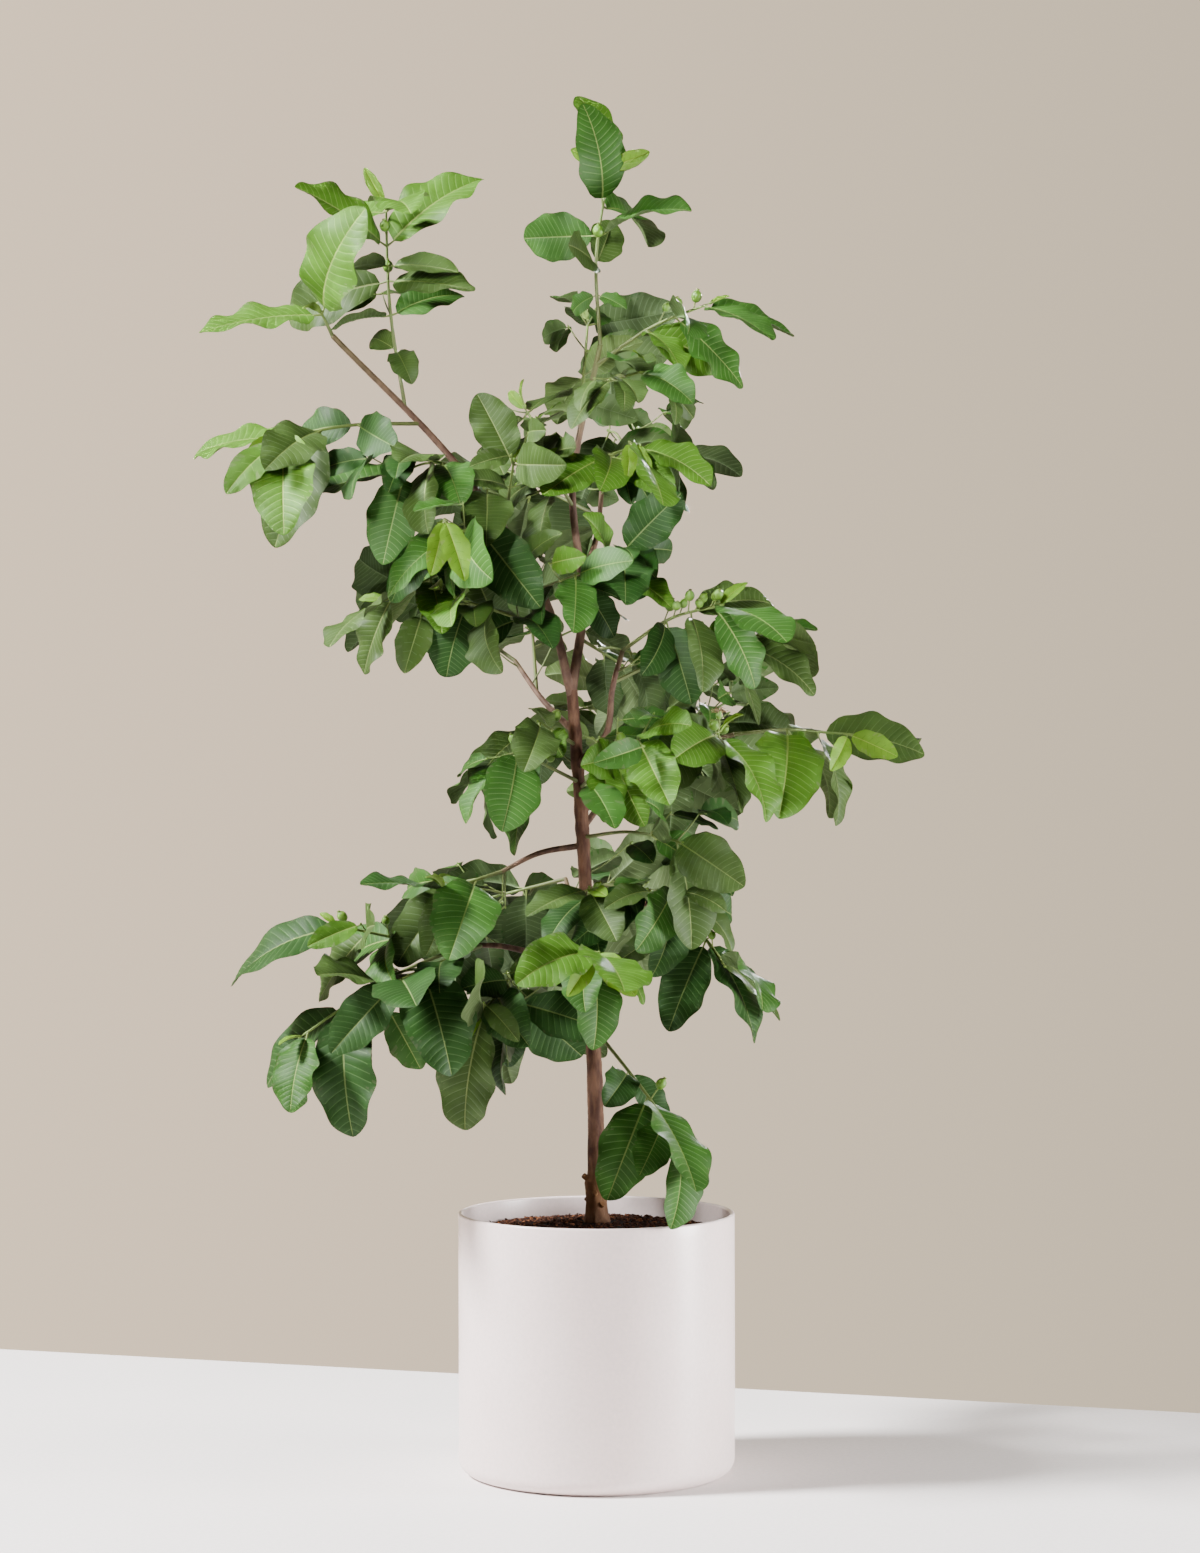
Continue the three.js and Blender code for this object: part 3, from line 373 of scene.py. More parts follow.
def bladePoints(leaf, u, v, raised=0.0, least=stalkWidth / 2, power=0.78):
    # u runs from the blade's foot to its tip, v from -1 to 1 across it
    u, v = np.broadcast_arrays(np.asarray(u, float), np.asarray(v, float))
    start = leaf["bend"] * 0.35
    angle = start - leaf["bend"] * u
    reach = leaf["length"] / leaf["bend"]
    x = reach * (math.sin(start) - np.sin(angle))
    y = reach * (np.cos(angle) - math.cos(start))
    twist = leaf["twist"] * (u - 0.3)
    oval = np.sin(np.pi * np.clip(u, 0, 1) ** 0.92).clip(0) ** power
    half = np.maximum(np.where(u < 0.9, least, 0.0), leaf["width"] / 2 * oval)
    lift = half * np.abs(v) * leaf["fold"] * (1 - 0.4 * np.abs(v)) + raised
    way, face, side = leaf["way"], leaf["face"], leaf["side"]
    flat = face * np.cos(angle)[..., None] - way * np.sin(angle)[..., None]
    across = side * np.cos(twist)[..., None] + flat * np.sin(twist)[..., None]
    normal = flat * np.cos(twist)[..., None] - side * np.sin(twist)[..., None]
    middle = leaf["foot"] + way * x[..., None] + face * y[..., None]
    return middle + across * (half * v)[..., None] + normal * lift[..., None]


def rollLeaf(dice, plan, root, way, length):
    outward = unit([root[0], root[1] * 0.7, 0])
    look = np.array([0.0, 1.0 if plan.get("back") else -1.0, 0.0])
    facing = up * 0.55 + outward * 0.4 + look * 0.55
    level = unit(facing - way * float(np.dot(facing, way)))
    face = turned(level, way, dice.between(-0.75, 0.75))
    leaf = {"root": root, "way": way, "face": face, "side": np.cross(way, face)}
    leaf.update(foot=root + way * (3 + length * 0.05), length=length)
    for key, low, high in [("width", 0.47, 0.61), ("bend", 0.25, 1.15), ("twist", -0.6, 0.6),
                           ("fold", 0.1, 0.5), ("wave", 0.01, 0.04), ("phase", 0, 2)]:
        leaf[key] = dice.between(low, high)
    leaf["width"] *= length
    return leaf


def leafWay(dice, plan, along, sideways, hand, share):
    spread = plan.get("open", 62) * (1.12 - 0.4 * share) + dice.between(-18, 18)
    away = math.radians(spread)
    swing = dice.between(-0.45, 0.45)
    out = along * math.cos(away) + sideways * (hand * math.sin(away))
    swung = unit(out + np.cross(along, sideways) * swing)
    drop = plan.get("hang", 0.5) * (1.25 - 0.5 * share) * dice.between(0.2, 1.8)
    return unit(swung - up * drop)


def isCorner(name, point):
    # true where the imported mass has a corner, so where the rule kept what it tried
    return corners[name].find(point)[2] < cornerReach


def isTwig(name, line):
    end, along = line.at(1), line.along(1)
    side = unit(np.cross(along, np.array([1.0, 0.0, 0.0]) if abs(along[2]) > 0.92 else up))
    over = np.cross(side, along)
    ends = [end + way * twigRadius[1] for way in (along * 2, side, -side, over, -over)]
    return sum(isCorner(name, point) for point in ends) >= 2


def jointOf(plan, twig, i):
    share = twig["bare"] + (0.97 - twig["bare"]) * (i + 1) / len(twig["pairs"])
    along = twig["line"].along(share)
    level = np.array([0.0, 1.0, 0.0]) if abs(along[2]) > 0.95 else up
    turn = math.radians(twig["turn"] + plan.get("step", 90) * i)
    return share, twig["line"].at(share), along, turned(unit(np.cross(along, level)), along, turn)


def growPair(dice, name, plan, twig, i):
    share, joint, along, sideways = jointOf(plan, twig, i)
    for hand in (1, -1):
        for attempt in range(leafTries):
            way = leafWay(dice, plan, along, sideways, hand, share)
            leaf = rollLeaf(dice, plan, joint, way, twig["pairs"][i] * dice.between(0.82, 1.18))
            if isCorner(name, bladePoints(leaf, 1, 0)):
                leaf.update(mass=name, pair=i, of=len(twig["pairs"]), kind="full")
                leaves.append(leaf)
                break


def growTwigs(dice, name, plan, stem):
    made = []
    for i in range(plan.get("twigs", 0)):
        for attempt in range(leafTries):
            share = 0.3 + 0.5 * (i + dice.between(0.2, 0.8)) / plan["twigs"]
            foot, along = stem.at(share), stem.along(share)
            sideways = unit(np.cross(along, np.array([0.0, 1.0, 0.0]) if abs(along[2]) > 0.95 else up))
            away = math.radians(dice.between(38, 64))
            hand = 1 if (i + plan.get("hand", 0)) % 2 == 0 else -1
            out = along * math.cos(away) + sideways * (hand * math.sin(away))
            way = unit(out + up * dice.between(-0.25, 0.35))
            length = plan["twig"] * dice.between(0.8, 1.2)
            end = foot + way * length - up * (length * dice.between(0, 0.2))
            line = Line([foot, foot + way * length * 0.5, end])
            turn = dice.between(0, 180)
            if isTwig(name, line):
                count = max(1, len(plan["pairs"]) - 1)
                pairs = [plan["pairs"][-1] * 0.9] * count
                made.append({"line": line, "pairs": pairs, "turn": turn, "bare": 0.25,
                             "radius": twigRadius})
                break
    return made


corners = {}
for name in massPlan:
    mesh = frame["nodes"][name].data
    corners[name] = kdtree.KDTree(len(mesh.vertices))
    for i, vertex in enumerate(mesh.vertices):
        corners[name].insert(vertex.co / mm, i)
    corners[name].balance()

leaves = []
shoots = {}
for name, plan in massPlan.items():
    dice = Dice(plan["seed"])
    shoot = {"line": stems[name], "pairs": plan["pairs"], "turn": plan.get("turn", 0),
             "bare": plan.get("bare", 0.2), "radius": stemRadius}
    twigs = growTwigs(dice, name, plan, shoot["line"])
    for i, roll in enumerate(plan["rolls"]):
        growPair(Dice(roll), name, plan, shoot, i)
    for twig in twigs:
        for i in range(len(twig["pairs"])):
            growPair(dice, name, plan, twig, i)
    shoots[name] = [shoot] + twigs
mainLeaves = len(leaves)
print("rule:", mainLeaves, "leaves,", sum(map(len, shoots.values())), "shoots")


# shoots that stand free, with few finer twigs
openMasses = {"top_shoot", "top_left_shoot", "left_far", "right_mid", "low_left_far", "low_right_shoot",
              "bough_tip_left", "top_right", "low_left_upper", "right_low_tip", "bud_twig", "left_out"}
finer = {"cell": 6.0, "spurChance": 0.62, "openChance": 0.12, "spur": (14, 40), "spurLeaf": (46, 88),
         "tipLeaf": (20, 44), "tipWidth": 0.36, "margin": 6.0, "limbTries": 5, "limbSpur": (24, 60),
         "limbLeaf": (48, 90)}
# the way that a bright twig grows, and the way that its leaves face
ahead = unit([-0.4, -1, 0.2])
showing = unit([0.3, -1, 0])
# tips with a larger pair of bright young leaves, which aren't kept clear of their neighbours:
# their length, how far they hang and part, and the length of their twig
brightTips = {
    "left_fan": {"length": 64, "hang": 1.1, "part": 0.32, "twig": 50},
    "top_shoot": {"length": 44, "hang": -0.2, "part": 0.9, "twig": 6},
    "upper_right": {"length": 42, "hang": 1.1, "part": 0.3, "twig": 20},
    "right_mid": {"length": 52, "hang": 0.35, "part": 0.5, "twig": 10},
    "leader_left": {"length": 38, "hang": 0.1, "part": 0.6, "twig": 16},
    "front_shoot": {"length": 58, "hang": 0.8, "part": 0.6, "twig": 10},
    "left_far": {"length": 36, "hang": 0.2, "part": 0.5, "twig": 4},
}
brightLook = {"wide": 0.85, "uneven": 0.06, "aside": 0.12, "forward": 0.25, "along": 0.2,
              "bend": 0.45, "twist": 0.2, "fold": 0.35}
# the cells of space that wood and leaves already take up
crowd = set()


def cellsOf(points):
    return set(map(tuple, np.floor(np.asarray(points).reshape(-1, 3) / finer["cell"]).astype(int)))


def bladeSamples(leaf, first=0.0):
    u, v = np.meshgrid(np.linspace(first, 1, 27), np.linspace(-1, 1, 13), indexing="ij")
    return bladePoints(leaf, u, v, 0.0, 0.0)


def rodSamples(line, first=0.0):
    return [line.at(first + (1 - first) * i / 24) for i in range(25)]


for leaf in leaves:
    crowd |= cellsOf(bladeSamples(leaf))
for limb in limbs.values():
    crowd |= cellsOf([limb["line"].at(i / 160) for i in range(161)])


def fits(name, points):
    low, high = boxes[name]
    points = np.asarray(points).reshape(-1, 3)
    if (points < low).any() or (points > high).any():
        return False
    return not (cellsOf(points) & crowd)


def tryLeaf(name, dice, plan, root, way, length, wide, kind, tone, always=False):
    leaf = rollLeaf(dice, plan, root, way, length)
    leaf["width"] *= wide
    leaf["foot"] = root + way * (2 + length * 0.05)
    if always:
        # a bright leaf shows its face
        leaf["face"] = unit(showing - way * float(np.dot(showing, way)))
        leaf.update({key: brightLook[key] for key in ("bend", "twist", "fold")})
        leaf["side"] = np.cross(way, leaf["face"])
    elif not fits(name, bladeSamples(leaf, 0.25)):
        return False
    crowd.update(cellsOf(bladeSamples(leaf)))
    leaf.update(mass=name, pair=0, of=1, kind=kind, tone=tone)
    leaves.append(leaf)
    return True


boxes = {}
for name in massPlan:
    co = np.array([vertex.co[:] for vertex in frame["nodes"][name].data.vertices]) / mm
    boxes[name] = (co.min(axis=0) - finer["margin"], co.max(axis=0) + finer["margin"])

spurs = []
budPlaces = []


def trySpur(name, plan, dice, joint, way, length, sizes, first):
    spur = Line([joint, joint + way * length * 0.5, joint + way * length + up * length * 0.1])
    if not fits(name, rodSamples(spur, first)):
        return False
    across = unit(np.cross(way, up))
    grown = 0
    for side in (1, -1):
        for attempt in range(3):
            leafGo = unit(way * 0.6 + across * side * dice.between(0.5, 1) - up * dice.between(0.0, 0.9))
            if tryLeaf(name, dice, plan, spur.at(1), leafGo, dice.between(*sizes), 0.95, "small", None):
                grown += 1
                break
    if grown:
        spurs.append(spur)
        crowd.update(cellsOf(rodSamples(spur, 0.3)))
        budPlaces.append((spur.at(1), way, dice.between(3.0, 4.5)))
    return grown > 0


for name, plan in massPlan.items():
    dice = Dice(plan["seed"] + 500)
    chance = finer["openChance" if name in openMasses else "spurChance"]
    for twig in shoots[name]:
        line = twig["line"]
        for i in range(len(twig["pairs"])):
            share, joint, along, sideways = jointOf(plan, twig, i)
            for hand in (1, -1):
                if dice.roll() > chance:
                    continue
                for attempt in range(leafTries):
                    way = turned(sideways * hand, along, dice.between(-1.2, 1.2))
                    way = unit(along * dice.between(0.3, 0.9) + way * 0.7 + up * dice.between(-0.2, 0.4))
                    length = dice.between(*finer["spur"])
                    if trySpur(name, plan, dice, joint, way, length, finer["spurLeaf"], 0.45):
                        break
        tip, along = line.at(1), line.along(1)
        across = turned(unit(np.cross(along, [0.3, 1, 0.2])), along, dice.between(0, 3))
        bright = brightTips.get(name) if twig is shoots[name][0] else None
        if bright:
            reach = ahead * bright["twig"]
            spurs.append(Line([tip, tip + reach * 0.5, tip + reach]))
        for side in (1, -1):
            way = unit(along * dice.between(0.9, 1.6) + across * side + up * 0.35)
            length, wide = dice.between(*finer["tipLeaf"]), finer["tipWidth"] / 0.54
            if not bright:
                tryLeaf(name, dice, plan, tip, way, length, wide, "small", "young")
                continue
            way = np.array([bright["part"] * side + brightLook["aside"], -brightLook["forward"], 0])
            way = unit(way + along * brightLook["along"] - up * bright["hang"])
            length, wide = bright["length"] * (1 + brightLook["uneven"] * side), brightLook["wide"]
            tryLeaf(name, dice, plan, tip + reach, way, length, wide, "small", "young", True)
        budPlaces.append((tip + along * 2, along, dice.between(4.5, 6.5)))
    # spurs straight on the limb, on either side of the shoot's foot
    limb = limbs[plan["from"]]
    for attempt in range(0 if name in openMasses else finer["limbTries"]):
        share = min(0.98, max(0.3, plan["at"] + dice.between(-0.12, 0.12)))
        foot, along = limb["line"].at(share), limb["line"].along(share)
        across = turned(unit(np.cross(along, [0.2, 1, 0.1])), along, dice.between(0, 2 * math.pi))
        way = unit(across + along * dice.between(0.1, 0.7) + up * 0.2)
        trySpur(name, plan, dice, foot, way, dice.between(*finer["limbSpur"]), finer["limbLeaf"], 0.5)
print("finer:", len(spurs), "spurs,", len(leaves) - mainLeaves, "small leaves")


def channel(c):
    # a colour from 0 to 255 as an amount of light
    return c / 255 / 12.92 if c <= 10 else ((c / 255 + 0.055) / 1.055) ** 2.4


def linear(r, g, b):
    return channel(r), channel(g), channel(b), 1.0


def newGroup(name, kind, inputs, outputs):
    tree = bpy.data.node_groups.new(name, kind)
    for label, socket, value in inputs:
        made = tree.interface.new_socket(label, in_out="INPUT", socket_type=socket)
        if value is not None:
            made.default_value = value
    for label, socket in outputs:
        tree.interface.new_socket(label, in_out="OUTPUT", socket_type=socket)
    return tree, tree.nodes.new("NodeGroupInput"), tree.nodes.new("NodeGroupOutput")


def addNode(tree, kind, sockets=None, **settings):
    # sockets are values for the node's inputs, by name or number; settings are its own choices
    made = tree.nodes.new(kind)
    for label, value in settings.items():
        setattr(made, label, value)
    for label, value in (sockets or {}).items():
        made.inputs[label].default_value = value
    return made


def join(tree, *links):
    # each link is a node and its output, then a node and its input
    for start, out, end, into in links:
        tree.links.new(start.outputs[out], end.inputs[into])


# two colours in soft patches, with a finer fleck over them, and a fine bump
mottle, given, result = newGroup(
    "mottle", "ShaderNodeTree",
    [("Colour", "NodeSocketColor", (0.5, 0.5, 0.5, 1)), ("Second", "NodeSocketColor", (0.4, 0.4, 0.4, 1)),
     ("Scale", "NodeSocketFloat", 40.0), ("Fine", "NodeSocketFloat", 400.0),
     ("Amount", "NodeSocketFloat", 0.5), ("Stretch", "NodeSocketVector", (1, 1, 1)),
     ("Bump", "NodeSocketFloat", 0.1), ("Rough", "NodeSocketFloat", 0.5), ("Spread", "NodeSocketFloat", 0.1)],
    [("Colour", "NodeSocketColor"), ("Rough", "NodeSocketFloat"), ("Normal", "NodeSocketVector")])
place = addNode(mottle, "ShaderNodeTexCoord")
stretch = addNode(mottle, "ShaderNodeVectorMath", operation="MULTIPLY")
coarse = addNode(mottle, "ShaderNodeTexNoise", {"Detail": 5.0})
fine = addNode(mottle, "ShaderNodeTexNoise", {"Detail": 3.0})
edge = addNode(mottle, "ShaderNodeMapRange", {"From Min": 0.38, "From Max": 0.62})
blend = addNode(mottle, "ShaderNodeMath", operation="MULTIPLY")
mix = addNode(mottle, "ShaderNodeMix", data_type="RGBA")
fleck = addNode(mottle, "ShaderNodeMapRange", {"To Min": 0.9, "To Max": 1.1})
shade = addNode(mottle, "ShaderNodeVectorMath", operation="SCALE")
wander = addNode(mottle, "ShaderNodeMath", operation="MULTIPLY_ADD")
centred = addNode(mottle, "ShaderNodeMath", {1: 0.5}, operation="SUBTRACT")
bump = addNode(mottle, "ShaderNodeBump", {"Distance": 0.0006})
join(mottle, (place, "Object", stretch, 0), (given, "Stretch", stretch, 1),
     (stretch, 0, coarse, "Vector"), (stretch, 0, fine, "Vector"), (given, "Scale", coarse, "Scale"),
     (given, "Fine", fine, "Scale"), (coarse, "Fac", edge, "Value"), (edge, 0, blend, 0),
     (given, "Amount", blend, 1), (blend, 0, mix, 0), (given, "Colour", mix, 6),
     (given, "Second", mix, 7), (fine, "Fac", fleck, "Value"), (mix, 2, shade, 0),
     (fleck, 0, shade, "Scale"), (shade, 0, result, "Colour"), (fine, "Fac", centred, 0),
     (centred, 0, wander, 0), (given, "Spread", wander, 1), (given, "Rough", wander, 2),
     (wander, 0, result, "Rough"), (fine, "Fac", bump, "Height"), (given, "Bump", bump, "Strength"),
     (bump, "Normal", result, "Normal"))


# how much darker a living or soil colour is made, so that it looks about as written under the lamps
lights = 0.42


def asLit(r, g, b):
    return tuple(c * lights for c in linear(r, g, b)[:3]) + (1.0,)


def paint(name, colour, second, scale=40, fine=400, amount=0.5, stretch=(1, 1, 1), bump=0.1, rough=0.5,
          spread=0.1, specular=0.3, young=None, plain=False):
    # a material of two colours; young mixes in a third towards the end of a shoot
    made = bpy.data.materials.new(name)
    made.use_nodes = True
    tree = made.node_tree
    skin = tree.nodes["Principled BSDF"]
    skin.inputs["Specular IOR Level"].default_value = specular
    tint = linear if plain else asLit
    group = addNode(tree, "ShaderNodeGroup", {
        "Colour": tint(*colour), "Second": tint(*second), "Scale": scale, "Fine": fine, "Amount": amount,
        "Stretch": stretch, "Bump": bump, "Rough": rough, "Spread": spread}, node_tree=mottle)
    colour = (group, "Colour")
    if young:
        age = addNode(tree, "ShaderNodeAttribute", attribute_name="age")
        mix = addNode(tree, "ShaderNodeMix", {7: tint(*young)}, data_type="RGBA")
        join(tree, (age, "Fac", mix, 0), (*colour, mix, 6))
        colour = (mix, 2)
    join(tree, (*colour, skin, "Base Color"), (group, "Rough", skin, "Roughness"),
         (group, "Normal", skin, "Normal"))
    return made


# the deep and mid undersides are darkened as painted shade on the back leaves, which turn their undersides to
# the front
leafLook = {
    "deep": {"top": (52, 94, 36), "vein": (86, 126, 66), "rib": (146, 172, 98), "under": (80, 104, 58)},
    "olive": {"top": (80, 110, 47), "vein": (108, 136, 78), "rib": (156, 176, 104), "under": (100, 122, 72)},
    "mid": {"top": (68, 120, 40), "vein": (110, 156, 78), "rib": (160, 188, 100), "under": (98, 126, 70)},
    "fresh": {"top": (96, 150, 40), "vein": (136, 184, 80), "rib": (178, 204, 104), "under": (124, 154, 84)},
    "young": {"top": (134, 188, 48), "vein": (98, 156, 36), "rib": (182, 212, 90), "under": (152, 186, 84)},
}
leafParts = ["top", "vein", "rib", "under", "underVein"]
leafMaterials = []
for tone, look in leafLook.items():
    look["underVein"] = tuple(min(255, c + 24) for c in look["under"])
    for part in leafParts:
        colour = look[part]
        second = tuple(int(c * 0.86) for c in colour)
        smooth = part in ("top", "vein")
        leafMaterials.append(paint(
            "leaf_" + tone + "_" + part, colour, second, scale=34, fine=900, amount=0.8, bump=0.25,
            rough=0.54 if smooth else 0.65, spread=0.12, specular=0.13 if smooth else 0.12))
tones = list(leafLook)
bark = paint("bark", (84, 52, 38), (138, 100, 76), scale=150, fine=600, amount=0.9, stretch=(1, 1, 0.28),
             bump=1.0, rough=0.8, spread=0.2, specular=0.2, young=(142, 98, 60))
youngBark = paint("young_bark", (96, 64, 48), (142, 108, 86), scale=140, fine=800, amount=0.8,
                  stretch=(1, 1, 0.5), bump=0.4, rough=0.72, specular=0.3, young=(116, 132, 66))
greenBark = paint("green_bark", (118, 128, 70), (104, 104, 62), scale=120, fine=900, amount=0.6, bump=0.2,
                  rough=0.6, specular=0.35, young=(142, 172, 84))
stalkSkin = paint("leaf_stalk", (150, 172, 88), (134, 158, 78), scale=120, fine=900, bump=0.1, rough=0.55)
budSkin = paint("bud", (138, 178, 74), (160, 194, 96), scale=200, fine=1200, bump=0.15, rough=0.5)
fruitSkin = paint("fruit", (120, 172, 56), (146, 192, 74), scale=180, fine=1500, bump=0.15, rough=0.42)
calyxSkin = paint("calyx", (136, 164, 70), (118, 124, 62), scale=300, fine=1500, bump=0.3, rough=0.65)
dryPetal = paint("dry_flower", (212, 184, 140), (150, 104, 62), scale=300, fine=1500, amount=0.9, bump=0.3,
                 rough=0.8)
glaze = paint("pot_glaze", (226, 209, 206), (220, 202, 199), scale=9, fine=240, amount=0.6, bump=0.05,
              rough=0.3, spread=0.06, specular=0.55, plain=True)
earth = paint("soil", (64, 37, 26), (28, 17, 13), scale=110, fine=700, amount=1.0, bump=1.0, rough=0.95,
              specular=0.15)
chipDark = paint("chip_dark", (104, 60, 42), (54, 31, 23), scale=300, fine=1500, amount=0.9, bump=0.8,
                 rough=0.9, specular=0.2)
chipLight = paint("chip_light", (196, 124, 80), (140, 84, 54), scale=300, fine=1500, amount=0.9, bump=0.8,
                  rough=0.85, specular=0.2)
print("materials:", len(bpy.data.materials))


body = next(iter(frame["bodies"]))


def makeObject(name, data):
    made = bpy.data.objects.new(name, data)
    bpy.context.scene.collection.objects.link(made)
    return made


def runTree(piece, tree, values):
    # runs a node tree on a piece and keeps what it makes as the piece's own mesh
    change = piece.modifiers.new(tree.name, "NODES")
    change.node_group = tree
    sockets = {item.name: item.identifier for item in tree.interface.items_tree if item.in_out == "INPUT"}
    for label, value in values.items():
        change[sockets[label]] = value
    graph = bpy.context.evaluated_depsgraph_get()
    mesh = bpy.data.meshes.new_from_object(piece.evaluated_get(graph))
    piece.modifiers.clear()
    piece.data = mesh


def register(piece, nodes=()):
    # hides the solids that the piece stands for and puts the piece on the body it rides on
    if nodes:
        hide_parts(*nodes)
    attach(piece, body)
    print(piece.name, len(piece.data.polygons), "faces")


def meshOf(name, points, faces, materials, kinds, smooth=True):
    # faces is a list of arrays of corners, each array with its own number of corners
    points = np.asarray(points, float)
    mesh = bpy.data.meshes.new(name)
    mesh.vertices.add(len(points))
    mesh.vertices.foreach_set("co", (points * mm).astype(np.float32).ravel())
    corners = np.concatenate([f.ravel() for f in faces]).astype(np.int32)
    sizes = np.concatenate([np.full(len(f), f.shape[1]) for f in faces]).astype(np.int32)
    mesh.loops.add(len(corners))
    mesh.loops.foreach_set("vertex_index", corners)
    mesh.polygons.add(len(sizes))
    mesh.polygons.foreach_set("loop_start", np.concatenate([[0], np.cumsum(sizes)[:-1]]).astype(np.int32))
    for material in materials:
        mesh.materials.append(material)
    mesh.polygons.foreach_set("material_index", np.concatenate(kinds).astype(np.int32))
    mesh.polygons.foreach_set("use_smooth", np.full(len(sizes), smooth))
    mesh.update(calc_edges=True)
    mesh.validate()
    return mesh


def ringFaces(rings, sides):
    # the faces, pointing out, of a pole, some rings of points from the bottom up, and a last pole
    k = np.arange(sides)
    j = (k + 1) % sides
    top = 1 + (rings - 1) * sides
    quads = np.concatenate([np.stack([k, j, sides + j, sides + k], axis=-1) + 1 + r * sides
                            for r in range(rings - 1)])
    tris = np.concatenate([np.stack([np.zeros(sides, int), 1 + j, 1 + k], axis=-1),
                           np.stack([top + k, top + j, np.full(sides, top + sides)], axis=-1)])
    return [quads, tris]


def ringPoints(radius, height, sides):
    angles = [2 * math.pi * k / sides for k in range(sides)]
    return [(radius * math.cos(a), radius * math.sin(a), height) for a in angles]


# a blade: its columns and side veins, and how much it quilts, waves and frays
blade = {"columns": [0, 0.2, 0.42, 0.64, 0.84, 1.0], "smallColumns": [0, 0.45, 1.0], "veins": 14,
         "smallVeins": 7, "veinHalf": 0.0042, "skew": 0.14, "quilt": 0.0088, "thick": 0.45, "wavePitch": 2.7,
         "waveMore": 1.2, "waveSmall": 0.75, "ragPitch": 3.4, "rag": 0.04, "power": 0.6, "plump": 1.09}


def bladePlan(veins, columns):
    # rows follow the side veins: two edges for each vein, and a bulge between veins
    at = [0.07 + 0.86 * k / (veins - 1) for k in range(veins)]
    rows, height, isVein = [0.022], [0.4], []
    for k, s in enumerate(at):
        rows += [s - blade["veinHalf"], s + blade["veinHalf"]]
        height += [0.0, 0.0]
        isVein += [False, True]
        if k + 1 < veins:
            rows.append((s + at[k + 1]) / 2)
            height.append(1.0)
            isVein.append(False)
    rows.append(0.985)
    height.append(0.3)
    isVein.append(False)
    across = [-c for c in reversed(columns)] + [0.0] + list(columns)
    hands = [-1] * len(columns) + [0] + [1] * len(columns)
    count, wide = len(rows), len(across)
    top = np.arange(count * wide).reshape(count, wide)
    under = top.copy()
    under[:, 1:-1] = count * wide + np.arange(count * (wide - 2)).reshape(count, wide - 2)
    foot = count * wide + count * (wide - 2)
    isVein = np.array(isVein)[:, None]
    ribLow = wide // 2 - 1
    column = np.arange(wide - 1)[None, :]
    isRib = (column == ribLow) | (column == ribLow + 1)
    isRim = (column == 0) | (column == wide - 2)
    kind = np.where(isRib, 2, np.where(isVein & ~isRim, 1, 0)) + np.zeros((count - 1, 1), int)
    underKind = np.where((kind == 1) | (kind == 2), 4, 3)

    def quads(g, flip):
        q = np.stack([g[:-1, :-1], g[:-1, 1:], g[1:, 1:], g[1:, :-1]], axis=-1).reshape(-1, 4)
        return q[:, ::-1] if flip else q

    def fans(g, flip):
        first = np.stack([np.full(wide - 1, foot), g[0, 1:], g[0, :-1]], axis=-1)
        last = np.stack([np.full(wide - 1, foot + 1), g[-1, :-1], g[-1, 1:]], axis=-1)
        t = np.concatenate([first, last])
        return t[:, ::-1] if flip else t

    return {
        "rows": np.array(rows)[:, None], "height": np.array(height)[:, None],
        "across": np.array(across)[None, :], "hands": np.array(hands)[None, :],
        "quads": np.concatenate([quads(top, False), quads(under, True)]),
        "quadKinds": np.concatenate([kind.ravel(), underKind.ravel()]),
        "tris": np.concatenate([fans(top, False), fans(under, True)]),
        "triKinds": np.concatenate([np.full(2 * wide - 2, 0), np.full(2 * wide - 2, 3)]),
        "count": foot + 2,
    }


bladePlans = {"full": bladePlan(blade["veins"], blade["columns"]),
              "small": bladePlan(blade["smallVeins"], blade["smallColumns"])}


